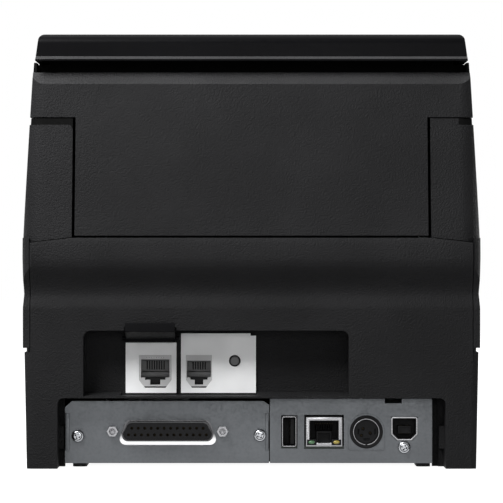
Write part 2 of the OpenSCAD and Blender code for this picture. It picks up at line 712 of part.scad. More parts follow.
// ---- chassis and receipt mechanism ----
module main_chassis() {
    base_z = floor_z + 2;
    wall_z = path_back + 3.5;
    color(steel) difference() {
        union() {
            block([-half_w + 8, base_front + 7, base_z], [half_w - 8, panel_y - 8, base_z + 1.2]);
            // side plates of the receipt section
            both_sides() along_x(frame_half, frame_half + 1.5)
                polygon([[wall_z, base_z], [rear - 100, base_z],
                [rear - 100, base_z + 30], [rear - 42, base_z + 30], [rear - 42, 63], [hinge_y - 12, 63],
                [hinge_y - 12, seam_z], [platen_y + 14, platen_z - 6],
                [wall_z, platen_z - 6]]);
            // rear plate with the hinge ears
            block([-hinge_x - 6, hinge_y - 13.5, 64], [hinge_x + 6, hinge_y - 12, seam_z + 1]);
            both_sides() along_x(hinge_x, hinge_x + 1.5) polygon(concat([[hinge_y - 13.5, hinge_z - 9],
                [hinge_y - 3, hinge_z - 3.3]], arc(hinge_y, hinge_z, 3.3, -90, 90, 8),
                [[hinge_y - 13.5, hinge_z + 3.3]]));
            // upright wall behind the slip path and the plates of the slip section
            block([-half_w + 9, wall_z, base_z], [column_x + 1.5, wall_z + 1.5, platen_z - 4]);
            block([column_x, base_front + 7, base_z], [column_x + 1.5, wall_z + 1.5, front_hinge_z - 12]);
            block([column_x, front_hinge_y - 4, split_z], [column_x + 1.5, front_hinge_y + 4, front_hinge_z]);
            rod_x(column_x, column_x + 1.5, front_hinge_y, front_hinge_z, 4);
            along_x(column_x + 8, column_x + 9.5) polygon([[path_back - 12, base_z], [path_back + 24, base_z],
                [path_back + 24, slip_pinion_z + 15], [path_back - 12, slip_pinion_z + 15]]);
            rod_x(frame_half + 1, gear_x + gear_w + 1, idler_pos[0], idler_pos[1], 2);
            // stand-offs of the boards
            for (x = [-70, -20, 20, 70]) for (y = [rear - 90, rear - 25])
                rod_z(base_z + 1, base_z + 2.2, x, y, 2.5);
        }
        // bores
        both_sides() rod_x(frame_half - 1, frame_half + 3, head_y, head_z, 2 + fit);
        rod_x(-frame_half - 3, half_w, feed_y, feed_z, 2.5 + fit);
        rod_x(frame_half - 1, frame_half + 3, pinion_pos[0], pinion_pos[1], 4);
        rod_x(column_x + 7, column_x + 10, feed_y, slip_pinion_z, 5);
        rod_x(column_x - 1, column_x + 3, shaft_y, shaft_z, 4);
        rod_x(column_x - 1, column_x + 3, front_hinge_y, front_hinge_z, 2 + fit);
        rod_x(column_x - 1, column_x + 3, path_front - 2, feed_z, 2);
        both_sides() rod_x(hinge_x - 1, hinge_x + 3, hinge_y, hinge_z, 2);
        // windows for the feed roller and the slip platen
        for (x = ring_x) block([x - ring_w / 2 - 2, wall_z - 1, feed_z - 8],
            [x + ring_w / 2 + 2, wall_z + 2, feed_z + 8]);
        // cable window in the upright wall
        block([-30, wall_z - 1, 18], [30, wall_z + 3, 44]);
        // room for the slip table
        block([column_x - 1, base_front, table_z - 8], [column_x + 3, base_front + 12, unit_bottom + 6]);
    }
}
head_y = platen_y - 14;
head_z = platen_z - 16;

module cover_hinge_pins() color(steel) both_sides() rod_x(hinge_x - 0.5, hinge_x + 10, hinge_y, hinge_z, 2);

// Drop-in bucket for the paper roll
module roll_compartment() {
    r = roll_r + 2;
    w = roll_w / 2 + 2;
    color(part_black) difference() {
        union() {
            intersection() {
                rod_x(-w - 2, w + 2, roll_y, roll_z, r);
                block([-w - 2, roll_y - r, 0], [w + 2, roll_y + r, roll_z + 1]);
            }
            block([-w - 2, roll_y - r, roll_z], [w + 2, roll_y + r, roll_z + 16]);
            for (a = [40, 140]) block([-frame_half, roll_y + (r - 8) * cos(a) - 4, roll_z - 6],
                [frame_half, roll_y + (r - 8) * cos(a) + 4, roll_z]);
            for (x = [-30, 0, 30]) block([x - 1, roll_y - 20, roll_z - r - 4],
                [x + 1, roll_y + 20, roll_z - 30]);
        }
        rod_x(-w, w, roll_y, roll_z, roll_r);
        block([-w, roll_y - roll_r, roll_z], [w, roll_y + roll_r, body_h]);
    }
}

module platen_roller() {
    color(part_black) rod_x(-roll_w / 2 - 2, roll_w / 2 + 2, platen_y, platen_z, platen_r);
    color(steel) {
        rod_x(-frame_half - 6, -roll_w / 2 - 1, platen_y, platen_z, 3);
        rod_x(roll_w / 2 + 1, gear_x + gear_w + 1, platen_y, platen_z, 3);
    }
}

module toothed(teeth, x, y, z, w, turn, bore) {
    translate([0, y, z]) difference() {
        along_x(x, x + w) polygon(gear_points(teeth, turn));
        rod_x(x - 1, x + w + 1, 0, 0, bore);
        if (teeth > 14) difference() {
            rod_x(x - 1, x + 1.2, 0, 0, (teeth / 2 - 3) * gear_m);
            rod_x(x - 2, x + 2, 0, 0, bore + 2);
        }
    }
}
module platen_gear() color(gear_white) toothed(20, gear_x, platen_y, platen_z, gear_w, train_angle, 3);
module idler_gear() color(gear_white)
    toothed(36, gear_x, idler_pos[0], idler_pos[1], gear_w, train_angle + 180 + 5, 2 + fit);
module feed_pinion() {
    color("goldenrod") toothed(10, gear_x, pinion_pos[0], pinion_pos[1], gear_w, train_angle + 180, 1.5);
    color(steel) rod_x(frame_half, gear_x + gear_w, pinion_pos[0], pinion_pos[1], 1.5);
}

// Three like stepping motors: receipt feed, slip feed and carriage
module stepper_motors() {
    color(steel) {
        motor_on_x(frame_half, -22, pinion_pos[0], pinion_pos[1]);
        motor_on_x(column_x + 9.5, 19, feed_y, slip_pinion_z);
        difference() {
            union() {
                rod_z(unit_bottom + wall, belt_z - 17.5, drive_x, belt_y, 10.8);
                rod_z(unit_bottom + wall, belt_z - 15, drive_x, belt_y, 5);
            }
            rod_z(belt_z - 23.5, belt_z, drive_x, belt_y, 1.5 + fit);
        }
    }
}
module motor_on_x(x, len, y, z) difference() {
    x1 = x + len;
    rod_x(min(x, x1), max(x, x1), y, z, 13.5);
    rod_x(x - 6, x + 6, y, z, 1.5 + fit);
}

// Heated line head on its tilting heat sink
module thermal_head() {
    w = roll_w / 2 + 2;
    nip = platen_y - platen_r - 0.1;
    color(steel) {
        difference() {
            block([-w, nip - 6, head_z + 2], [w, nip - 2, platen_z + 6]);
            for (i = [-5:5]) block([i * 7 - 2, nip - 7, head_z + 6], [i * 7 + 2, nip - 4, platen_z + 3]);
        }
        block([-w, head_y - 2, head_z - 2], [w, nip - 2, head_z + 2.5]);
        rod_x(-frame_half - 1.5, frame_half + 1.5, head_y, head_z, 2);
    }
    color(gear_white) difference() {
        block([-w, nip - 2, platen_z - 8], [w, nip, platen_z + 6]);
        block([-w - 1, nip - 0.6, platen_z + 2], [w + 1, nip + 1, platen_z + 7]);
        block([-w - 1, nip - 0.6, platen_z - 9], [w + 1, nip + 1, platen_z - 2]);
    }
}

blade_z = platen_z + 10.5;
blade_back = bezel_back - 12 - cutter_stroke;
module fixed_blade() color(steel) difference() {
    along_x(-frame_half + 6, frame_half - 6) polygon([[platen_y - 5, blade_z + 1.8],
        [platen_y + 8, blade_z + 1.8],
        [platen_y + 8, blade_z + 2.9], [platen_y - 4, blade_z + 2.9]]);
    for (x = [-30, 30]) rod_z(blade_z, blade_z + 5, x, platen_y + 1, 1.2);
}
module moving_blade() color(steel) difference() {
    w = roll_w / 2 + 2;
    // shallow V edge that shears from both ends towards the middle
    along_z(blade_z, blade_z + 1.4) polygon([[-w, blade_back], [w, blade_back], [w, bezel_back - 0.6],
        [0, bezel_back - 3.5], [-w, bezel_back - 0.6]]);
    along_z(blade_z - 1, blade_z + 3)
        polygon(rounded(-30, blade_back + 2, 30, blade_back + 10, [3, 3, 3, 3]));
}
module cutter_housing() color(part_black) difference() {
    w = frame_half - 0.2;
    union() {
        block([-w, blade_back - 8, blade_z - 2], [w, bezel_back - 0.4, blade_z + 4]);
        for (x = [-w, w - 12]) block([x, blade_back - 9, blade_z - 16], [x + 12, blade_back - 4, blade_z]);
    }
    block([-roll_w / 2 - 2.3, blade_back - 0.4, blade_z - 0.3],
        [roll_w / 2 + 2.3, bezel_back + 1, blade_z + 1.7]);
}

// ---- slip mechanism ----
module slip_platen() color(steel)
    along_x(unit_left + 14, column_x - 6) polygon([[path_back - 0.2, shaft_z + 3.5],
        [path_back + 0.4, shaft_z + 3],
        [path_back + 3.5, shaft_z + 3], [path_back + 3.5, cassette_z - 1], [path_back + 0.4, cassette_z - 1],
        [path_back - 0.2, cassette_z - 1.5]]);

module slip_path_guide() {
    r = 12;
    color(part_black) difference() {
        along_x(unit_left + 4, column_x - 0.5) polygon(concat([[path_back + 3.5, table_z + 0.1]],
            [[path_back - r, table_z + 0.1]], arc(path_back - r, table_z + 0.6 + r, r, 270, 360, 8),
            [[path_back, pillar_z + 1.3], [path_back + 3.5, pillar_z + 1.3]]));
        block([unit_left + 13.7, path_back - 1, shaft_z + 2.7],
            [column_x - 5.7, path_back + 4, cassette_z - 0.7]);
        for (x = ring_x) block([x - ring_w / 2 - 1, path_back - 1, feed_z - 7.8],
            [x + ring_w / 2 + 1, path_back + 5, feed_z + 7.8]);
        // flutes along the back, which leave ribs
        for (x = [-82:8:46])
            block([x, path_back + 1.6, cassette_z + 3], [x + 5, path_back + 4, pillar_z - 2]);
    }
}

module slip_feed_roller() {
    color(steel) rod_x(-frame_half - 30, column_x + 7, feed_y, feed_z, 2.5);
    color(part_black) for (x = ring_x) rod_x(x - ring_w / 2, x + ring_w / 2, feed_y, feed_z, feed_r);
}
slip_gear_x = column_x + 2.5;
module slip_roller_gear() color(gear_white) toothed(28, slip_gear_x, feed_y, feed_z, gear_w, 90, 2.5);
module slip_motor_pinion() {
    color("goldenrod") toothed(10, slip_gear_x, feed_y, slip_pinion_z, gear_w, 270 + 18, 1.5);
    color(steel) rod_x(slip_gear_x, column_x + 9.5, feed_y, slip_pinion_z, 1.5);
}
module pinch_roller() {
    color(steel) rod_x(unit_left + 3, column_x + 1, path_front - 2, feed_z, 1.5);
    color(part_black) for (x = ring_x)
        rod_x(x - ring_w / 2, x + ring_w / 2, path_front - 2, feed_z, pinch_r);
}

module carriage_shaft() color(steel) rod_x(unit_left + wall, column_x + 1.5, shaft_y, shaft_z, 4);

module carriage() {
    color(part_black) difference() {
        along_x(carriage_x - 17, carriage_x + 17) polygon([[shaft_y - 16, shaft_z - 7],
            [path_front - 14, shaft_z - 7],
            [path_front - 12, shaft_z - 5], [path_front - 12, shaft_z + 7], [shaft_y + 4, shaft_z + 7],
            [shaft_y + 4, shaft_z + 22], [shaft_y - 8, shaft_z + 20], [shaft_y - 16, shaft_z + 13]]);
        rod_x(carriage_x - 18, carriage_x + 18, shaft_y, shaft_z, 4 + fit);
        // slot that takes the belt
        block([carriage_x - 18, belt_y + 5, belt_z - 1.2], [carriage_x + 18, belt_y + 9.6, belt_z + 8]);
    }
}

// Nine-pin head: finned magnet housing and the nose that guides the wires
module print_head() {
    y0 = shaft_y + 4;
    color(part_black) difference() {
        block([carriage_x - 13, y0, shaft_z + 7], [carriage_x + 13, path_front - 10, shaft_z + 22.5]);
        for (i = [-2:2]) block([carriage_x + i * 5 - 1.2, y0 + 3, shaft_z + 12], [carriage_x + i * 5 + 1.2,
            path_front - 12, shaft_z + 23]);
    }
    color(steel) along_z(shaft_z + 9, shaft_z + 19) translate([carriage_x, path_front])
        polygon([[-9, -10.5], [-3, -3.8], [3, -3.8], [9, -10.5]]);
}

// Toothed belt round both pulleys
module carriage_belt() {
    n = 24;
    function loop(r) = concat(arc(idler_x, belt_y, r, 90, 270, n), arc(drive_x, belt_y, r, -90, 90, n));
    color(part_black) along_z(belt_z, belt_z + 5) difference() {
        polygon(loop(pulley_r + 1.1));
        polygon(loop(pulley_r + 0.15));
    }
}
module pulley(x, bore) {
    color(gear_white) difference() {
        union() {
            rod_z(belt_z - 0.9, belt_z + 6.2, x, belt_y, pulley_r - 0.1);
            for (z = [belt_z - 0.9, belt_z + 5.3]) rod_z(z, z + 0.9, x, belt_y, pulley_r + 1.6);
        }
        rod_z(belt_z - 2, belt_z + 8, x, belt_y, bore);
        for (a = [0:30:330]) translate([x, belt_y, 0]) rotate([0, 0, a])
            rod_z(belt_z - 0.1, belt_z + 5.3, pulley_r + 0.2, 0, 0.7);
    }
}
module drive_pulley() {
    pulley(drive_x, 1.5);
    color(steel) rod_z(belt_z - 23.5, belt_z + 6.2, drive_x, belt_y, 1.5);
}
module idler_pulley() pulley(idler_x, 2 + fit);

module ribbon_cassette() {
    y0 = unit_front + 6;
    y1 = path_front - 3.2;
    x0 = unit_left + 5.6;
    x1 = column_x - 3.6;
    color(part_black) difference() {
        union() {
            along_z(cassette_z, cassette_z + 13) polygon(rounded(x0, y0, x1, y1, [14, 14, 3, 3]));
            for (x = [x0, x1 - 5]) block([x, y1 - 5, shaft_z + 6], [x + 5, y1, cassette_z + 1]);
            // exposed ribbon
            block([x0 + 4, y1 - 0.4, shaft_z + 9], [x1 - 4, y1 - 0.1, shaft_z + 19]);
        }
        along_z(cassette_z + 12, cassette_z + 14) polygon(rounded(x0 + 6, y0 + 6, x1 - 6, y1 - 5,
            [9, 9, 2, 2]));
        rod_z(cassette_z + 4, cassette_z + 14, knob_x, knob_y, 2 + fit);
    }
}
knob_x = unit_left + 24;
knob_y = shaft_y - 10;
module ribbon_knob() color(gear_white) difference() {
    union() {
        rod_z(cassette_z + 12.2, cassette_z + 17, knob_x, knob_y, 8);
        rod_z(cassette_z + 5, cassette_z + 13, knob_x, knob_y, 2);
    }
    for (a = [0:20:340]) translate([knob_x, knob_y, 0]) rotate([0, 0, a])
        rod_z(cassette_z + 12, cassette_z + 18, 8.4, 0, 0.8);
    block([knob_x - 6, knob_y - 0.6, cassette_z + 16], [knob_x + 6, knob_y + 0.6, cassette_z + 18]);
}

// ---- boards, rear panels and connectors ----
board_z = floor_z + 4.2;
panel_front = panel_y - plate_t;
port_z = 15.3;
device_x = 17.1 - leg_x;
inlet_x = device_x + 16.3;
network_x = inlet_x + 18.1;
host_x = network_x + 14.9;
bracket_x0 = host_x + 8.7;
bracket_x1 = leg_x - 2.7;
serial_x = (bracket_x0 + bracket_x1) / 2 - 0.3;
serial_z = 15.7;

module circuit_boards() {
    color([0.1, 0.35, 0.2]) {
        block([-half_w + 21.6, rear - 95, board_z], [-6, panel_front - 1, board_z + 1.5]);
        block([-3, rear - 95, board_z], [half_w - 20, panel_front - 1, board_z + 1.5]);
    }
}

// Outline of the 25-way connector, g outside the shell, its long row of 13 at the bottom
function d_outline(g) = let (w = shell_w / 2 + g, h = shell_h / 2 + g, s = 2 * h * tan(10),
    r = min(2.6, h - 0.2) )
    concat(arc(serial_x - w + r, serial_z - h + r, r, 170, 270, 6),
        arc(serial_x + w - r, serial_z - h + r, r, -90, 10, 6),
        arc(serial_x + w - s - r, serial_z + h - r, r, 10, 90, 6),
        arc(serial_x - w + s + r, serial_z + h - r, r, 90, 170, 6));

module interface_bracket() {
    x0 = bracket_x0;
    x1 = bracket_x1;
    h = recess_z - 4.1;
    color(plate_grey) difference() {
        union() {
            along_y(panel_front, panel_y) polygon([[x0, panel_z], [x1, panel_z], [x1, h - 2.6], [x1 - 3, h],
                [x0 + 2.4, h], [x0, h - 1.6]]);
            block([x0, panel_front - 13, board_z + 1.6], [x0 + 1.2, panel_y, h - 4]);
            block([x1 - 1.2, panel_front - 13, board_z + 1.6], [x1, panel_y, h - 3.5]);
        }
        translate([0, 0, -0.7]) along_y(panel_front - 1, panel_y + 1) polygon(d_outline(1.2));
        for (s = [-1, 1]) rod_y(panel_front - 1, panel_y + 1, serial_x + s * lock_pitch / 2, serial_z, 1.6);
        for (p = bracket_screws) rod_y(panel_front - 1, panel_y + 1, p[0], p[1], 1.5);
        for (x = [x0 - 1, x1 - 0.6]) block([x, panel_front - 0.5, 8], [x + 1.6, panel_y + 1, 20]);
    }
}
panel_z = 1.9;
bracket_screws = [[bracket_x1 - 5.5, 13.6], [bracket_x0 + 3.9, 13.9]];
panel_screw = [device_x + 0.1, 8.8];

module connector_panel() {
    x0 = -leg_x + 5.2;
    x1 = bracket_x0 - 0.4;
    h = recess_z - 3.1;
    color(plate_grey) difference() {
        union() {
            block([x0, panel_front, panel_z], [x1, panel_y, h]);
            block([x0, panel_front - 12, board_z + 1.6], [x0 + 1.2, panel_y, h - 2]);
        }
        block([host_x - 3.5, panel_front - 1, port_z - 7.1], [host_x + 3.5, panel_y + 1, port_z + 7.1]);
        block([network_x - 8.5, panel_front - 1, port_z - 7.3], [network_x + 8.5, panel_y + 1, port_z + 7.3]);
        rod_y(panel_front - 1, panel_y + 1, inlet_x, port_z, 7.15);
        along_y(panel_front - 1, panel_y + 1) polygon(device_outline(0.3));
        block([device_x + 1.1, panel_front - 1, h - 2], [device_x + 8.4, panel_y + 1, h + 1]);
        rod_y(panel_front - 1, panel_y + 1, panel_screw[0], panel_screw[1], 1.5);
    }
}

module pan_screw(p) {
    intersection() {
        rod_y(panel_y, panel_y + 2.1, p[0], p[1], 2.8);
        translate([p[0], panel_y - 2.3, p[1]]) sphere(r = 4.4);
    }
    rod_y(panel_front - 0.8, panel_y + 0.5, p[0], p[1], 1.5);
}
module panel_screws() color(steel) for (p = concat(bracket_screws, [panel_screw])) difference() {
    pan_screw(p);
    translate([p[0], panel_y + 1, p[1]]) rotate([0, 35, 0]) {
        block([-1.9, 0, -0.35], [1.9, 2, 0.35]);
        block([-0.35, 0, -1.9], [0.35, 2, 1.9]);
    }
}
module jack_screws() color(steel) for (s = [-1, 1]) {
    x = serial_x + s * lock_pitch / 2;
    difference() {
        union() {
            rod_y(panel_front - 5, panel_y, x, serial_z, 1.6);
            translate([x, panel_y, serial_z]) rotate([-90, 0, 0]) cylinder(h = 4.6, r = 2.4, $fn = 6);
        }
        rod_y(panel_y - 3, panel_y + 5, x, serial_z, 1.42);
    }
}

module serial_connector() color(steel) {
    difference() {
        union() {
            along_y(panel_front - 5.5, panel_y + 4.4) polygon(d_outline(0));
            block([serial_x - 26.5, panel_front - 1.2, serial_z - 6.2],
                [serial_x + 26.5, panel_front - 0.2, serial_z + 6.2]);
        }
        along_y(panel_front - 6, panel_y + 5) polygon(d_outline(-0.5));
        for (s = [-1, 1]) rod_y(panel_front - 6, panel_front, serial_x + s * lock_pitch / 2, serial_z, 1.6);
    }
}
socket_pitch = 2.77;
module serial_insert() color(part_black) difference() {
    union() {
        along_y(panel_front - 6, panel_y + 4.1) polygon(d_outline(-0.5));
        block([serial_x - 26.5, panel_front - 16, board_z + 1.5],
            [serial_x + 26.5, panel_front - 5.5, serial_z + 6.2]);
    }
    for (i = [0:12]) rod_y(panel_y + 0.6, panel_y + 5, serial_x + (i - 6) * socket_pitch, serial_z - 1.42,
        0.62);
    for (i = [0:11]) rod_y(panel_y + 0.6, panel_y + 5, serial_x + (i - 5.5) * socket_pitch, serial_z +
        1.42, 0.62);
}

module usb_host_port() {
    top = board_z + 1.5;
    color(steel) difference() {
        block([host_x - 3.4, panel_y - 15, top], [host_x + 3.4, panel_y + 0.5, port_z + 7]);
        block([host_x - 2.6, panel_y - 12, port_z - 6.3], [host_x + 2.6, panel_y + 1, port_z + 6.3]);
    }
    color("white") block([host_x + 0.5, panel_y - 13, port_z - 5.6],
        [host_x + 2.4, panel_y - 0.3, port_z + 5.6]);
}

// Cavity of a modular jack seen from the rear: plug space with the stepped latch below
module jack_cavity(x, z, w, h, y0, y1) {
    block([x - w / 2, y0, z], [x + w / 2, y1, z + h]);
    block([x - w * 0.36, y0, z - 1], [x + w * 0.36, y1, z + 1]);
    block([x - w * 0.18, y0, z - 3.1], [x + w * 0.18, y1, z]);
}
module network_jack() {
    top = board_z + 1.5;
    color(steel) difference() {
        block([network_x - 8.4, panel_y - 18, top], [network_x + 8.4, panel_y + 0.4, port_z + 7.2]);
        jack_cavity(network_x, port_z - 3.2, 11.9, 8, panel_y - 13, panel_y + 1);
        for (x = [network_x - 7.6, network_x + 4.6]) block([x, panel_y - 1, port_z - 6.2],
            [x + 3, panel_y + 1, port_z - 3.8]);
    }
}
module power_inlet() {
    color(part_black) difference() {
        union() {
            rod_y(panel_y - 2.5, panel_y + 0.3, inlet_x, port_z, 7.1);
            block([inlet_x - 7, panel_y - 17, board_z + 1.5], [inlet_x + 7, panel_y - 2.5, port_z + 6.5]);
        }
        rod_y(panel_y - 9, panel_y + 1, inlet_x, port_z, 5.6);
    }
    color(part_black) difference() {
        rod_y(panel_y - 10, panel_y - 1, inlet_x, port_z, 4.4);
        for (a = [90, 210, 330]) rod_y(panel_y - 6, panel_y, inlet_x + 2.4 * cos(a), port_z - 2.4 * sin(a),
            0.8);
    }
}
device_z = 16.7;
function device_outline(g) = let (w = 5.4 + g, h = 4.8 + g) [[device_x - w, device_z - h + 2.4],
    [device_x - w + 2.4, device_z - h],
    [device_x + w - 2.4, device_z - h], [device_x + w, device_z - h + 2.4], [device_x + w, device_z + h],
    [device_x - w, device_z + h]];
module usb_device_port() {
    color(steel) difference() {
        union() {
            along_y(panel_y - 12, panel_y + 0.5) polygon(device_outline(0.2));
            block([device_x - 5.6, panel_y - 15, board_z + 1.5], [device_x + 5.6, panel_y - 5, device_z + 5]);
        }
        along_y(panel_y - 9, panel_y + 1) polygon(device_outline(-0.6));
    }
    color(part_black) block([device_x - 2.8, panel_y - 10, device_z - 1.6],
        [device_x + 2.8, panel_y - 0.6, device_z + 1.6]);
}

// Light plates of the display jack and the drawer jack, side by side in the recess
display_x = 41.4;
drawer_x = 22.6;
jack_z = 34;
module jack_cut(x, w, y0, y1, g) along_y(y0, y1) polygon([[x - w / 2 - g, jack_z + 3.4 - g],
    [x - w / 2 + 2.6 - g, jack_z - g],
    [x + w / 2 - 2.6 + g, jack_z - g], [x + w / 2 + g, jack_z + 3.4 - g], [x + w / 2 + g, jack_z + 14.1 + g],
    [x - w / 2 - g, jack_z + 14.1 + g]]);
module jack_plates() {
    y = recess_back;
    z0 = recess_z - 0.8;
    color(light_plate) difference() {
        union() {
            block([32.3, y, z0], [54.1, y + plate_t, 53.4]);
            along_y(y, y + plate_t) polygon([[-1.9, z0], [30.3, z0], [30.3, 57.4], [0.4, 57.4],
                [0.4, 56.4], [-1.9, 56.4]]);
        }
        jack_cut(display_x, 14, y - 1, y + 3, 0);
        jack_cut(drawer_x, 11.2, y - 1, y + 3, 0);
        rod_y(y - 1, y + 3, reset_x, reset_z, 2.1);
    }
}
module modular_jacks() {
    y = recess_back;
    color([0.5, 0.5, 0.51]) {
        difference() {
            union() {
                jack_cut(display_x, 14, y - 1, y + plate_t, -0.02);
                block([display_x - 8, y - 16, jack_z - 0.4], [display_x + 8, y, jack_z + 15]);
            }
            // clearance under the nose
            block([display_x - 9, y - 2.5, jack_z - 1], [display_x + 9, y + 3, jack_z + 0.6]);
            jack_cavity(display_x, jack_z + 4.4, 12.2, 7.8, y - 12, y + 3);
        }
        difference() {
            union() {
                jack_cut(drawer_x, 11.2, y - 1, y + plate_t, -0.02);
                block([drawer_x - 6.8, y - 16, jack_z - 0.4], [drawer_x + 6.8, y, jack_z + 15]);
            }
            block([drawer_x - 7, y - 2.5, jack_z - 1], [drawer_x + 7, y + 3, jack_z + 0.6]);
            jack_cavity(drawer_x, jack_z + 4.4, 10.3, 7.3, y - 12, y + 3);
        }
    }
}
reset_x = 7.2;
reset_z = 45.6;
module reset_button() color(plate_grey) {
    rod_y(recess_back - 2, recess_back + plate_t + 0.9, reset_x, reset_z, 1.8);
    block([reset_x - 3, recess_back - 6, reset_z - 3], [reset_x + 3, recess_back - 1.2, reset_z + 3]);
}

// Flap that folds down over the display jack, stored folded up
flap_y = recess_back + 4.1;
flap_z = 55.5;
flap_angle = 15;
flap_l = 14.6;
module port_flap() color(part_black) translate([0, flap_y, flap_z]) rotate([flap_angle, 0, 0]) {
    block([32.6, 0, -0.8], [53.8, flap_l, 0.8]);
    block([32.6, flap_l - 1.6, -0.8], [53.8, flap_l, 3.1]);
    rod_x(32.6, 53.8, 0, 0, 1.8);
    rod_x(30.9, 55.5, 0, 0, 1);
}
module flap_notch() block([32.2, wall_y - 6, recess_top - 1], [54.2, rear + 1, recess_top + 1.4]);

module rubber_feet() color([0.08, 0.08, 0.08]) both_sides() for (y = foot_y)
    along_z(0, floor_z + 0.8) polygon(rounded(foot_x - 3, y - 9, foot_x + 3, y + 9, [2, 2, 2, 2]));

lower_case();
case_left();
case_right();
receipt_cover();
top_panel();
top_bezel();
front_case();
front_cover();
slip_table();
control_panel();
indicator_lenses();
receipt_feed_button();
slip_feed_button();
release_button();
cover_open_button();
power_rocker();
main_chassis();
cover_hinge_pins();
roll_compartment();
platen_roller();
platen_gear();
idler_gear();
feed_pinion();
stepper_motors();
thermal_head();
fixed_blade();
moving_blade();
cutter_housing();
slip_platen();
slip_path_guide();
slip_feed_roller();
slip_roller_gear();
slip_motor_pinion();
pinch_roller();
carriage_shaft();
carriage();
print_head();
carriage_belt();
drive_pulley();
idler_pulley();
ribbon_cassette();
ribbon_knob();
circuit_boards();
connector_panel();
interface_bracket();
panel_screws();
jack_screws();
serial_connector();
serial_insert();
usb_host_port();
network_jack();
power_inlet();
usb_device_port();
jack_plates();
modular_jacks();
reset_button();
port_flap();
rubber_feet();
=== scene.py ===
# Desk printer: receipt roll section behind, slip section in front. +Y is the rear with the
# connectors, X runs to the operator's right and Z is up. The places and sizes of the pieces
# are in mm. The camera, the studio and the depth of a surface's relief are in metres.
import json
import math

import bmesh
import bpy
import mathutils
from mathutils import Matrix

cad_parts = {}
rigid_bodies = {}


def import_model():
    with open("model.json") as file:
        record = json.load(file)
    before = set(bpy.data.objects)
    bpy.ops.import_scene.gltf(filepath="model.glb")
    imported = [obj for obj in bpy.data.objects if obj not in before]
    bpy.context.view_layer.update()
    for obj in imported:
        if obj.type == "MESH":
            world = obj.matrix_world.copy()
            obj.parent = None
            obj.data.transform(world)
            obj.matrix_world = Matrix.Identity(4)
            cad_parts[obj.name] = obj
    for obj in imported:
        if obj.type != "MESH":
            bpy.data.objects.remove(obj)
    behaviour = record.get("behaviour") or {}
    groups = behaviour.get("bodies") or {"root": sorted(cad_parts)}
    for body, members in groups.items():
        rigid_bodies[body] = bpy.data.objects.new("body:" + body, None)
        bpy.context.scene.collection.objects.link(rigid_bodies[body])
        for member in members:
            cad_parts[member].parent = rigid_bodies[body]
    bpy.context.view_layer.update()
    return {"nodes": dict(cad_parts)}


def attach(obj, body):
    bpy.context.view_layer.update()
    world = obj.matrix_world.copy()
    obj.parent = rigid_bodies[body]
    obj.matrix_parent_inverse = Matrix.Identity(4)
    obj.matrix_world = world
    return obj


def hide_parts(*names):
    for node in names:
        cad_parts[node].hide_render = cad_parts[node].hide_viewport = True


bpy.ops.object.select_all(action="SELECT")
bpy.ops.object.delete()
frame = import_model()
cad = frame["nodes"]

# ---- camera ----
# It stands level behind the printer, in line with its middle, with a long lens,
# so the rear is seen square on and the sides vanish behind it.
shoulder_y = 0.141
camera_distance, camera_height = 1.2, 0.0926
camera_data = bpy.data.cameras.new("camera")
camera_data.lens = 202.75
camera_data.sensor_width = 36
camera = bpy.data.objects.new("camera", camera_data)
camera.location = (0, shoulder_y + camera_distance, camera_height)
camera.rotation_euler = (math.radians(90), 0, math.radians(180))
bpy.context.scene.collection.objects.link(camera)
bpy.context.scene.camera = camera

# ---- moulded cases ----
# Injection-moulded ABS shells, screwed together from below. Their outer faces carry a fine
# spark-eroded grain, and their edges have the small radius that a tool leaves.
CASE_EDGES = {
    "lower_case": 0.5, "case_left": 0.9, "case_right": 0.9, "receipt_cover": 0.8,
    "top_bezel": 0.4, "front_case": 0.5, "front_cover": 0.5, "slip_table": 0.4,
}


def new_material(name, color, roughness, metallic=0.0, specular=0.5):
    material = bpy.data.materials.new(name)
    material.use_nodes = True
    shader = material.node_tree.nodes["Principled BSDF"]
    shader.inputs["Base Color"].default_value = (*color, 1)
    shader.inputs["Roughness"].default_value = roughness
    shader.inputs["Metallic"].default_value = metallic
    shader.inputs["Specular IOR Level"].default_value = specular
    return material, shader


def pattern(material, kind, scale, stretch=(1, 1, 1), **settings):
    """A texture node on Object coordinates. Its scale is in repeats per metre."""
    nodes, links = material.node_tree.nodes, material.node_tree.links
    place = nodes.new("ShaderNodeTexCoord")
    turn = nodes.new("ShaderNodeMapping")
    turn.inputs["Scale"].default_value = stretch
    texture = nodes.new("ShaderNodeTex" + kind)
    texture.inputs["Scale"].default_value = scale
    for socket, value in settings.items():
        texture.inputs[socket.replace("_", " ")].default_value = value
    links.new(place.outputs["Object"], turn.inputs["Vector"])
    links.new(turn.outputs["Vector"], texture.inputs["Vector"])
    return texture


def vary_roughness(material, shader, value, low, high):
    """Drives the roughness between two values by the middle range of a texture output."""
    nodes, links = material.node_tree.nodes, material.node_tree.links
    span = nodes.new("ShaderNodeMapRange")
    for end, number in (("From Min", 0.3), ("From Max", 0.7), ("To Min", low), ("To Max", high)):
        span.inputs[end].default_value = number
    links.new(value, span.inputs["Value"])
    links.new(span.outputs["Result"], shader.inputs["Roughness"])


def tint(material, shader, value, colors, stops=(0.35, 0.65)):
    """Colours the shader along a ramp by a texture output."""
    nodes, links = material.node_tree.nodes, material.node_tree.links
    ramp = nodes.new("ShaderNodeValToRGB")
    for element, stop, color in zip(ramp.color_ramp.elements, stops, colors):
        element.position = stop
        element.color = (*color, 1)
    links.new(value, ramp.inputs["Fac"])
    links.new(ramp.outputs["Color"], shader.inputs["Base Color"])


def relief(material, shader, value, depth):
    """Bumps the surface by a texture output, to a depth in metres."""
    nodes, links = material.node_tree.nodes, material.node_tree.links
    bump = nodes.new("ShaderNodeBump")
    bump.inputs["Distance"].default_value = depth
    bump.inputs["Strength"].default_value = 1.0
    links.new(value, bump.inputs["Height"])
    links.new(bump.outputs["Normal"], shader.inputs["Normal"])


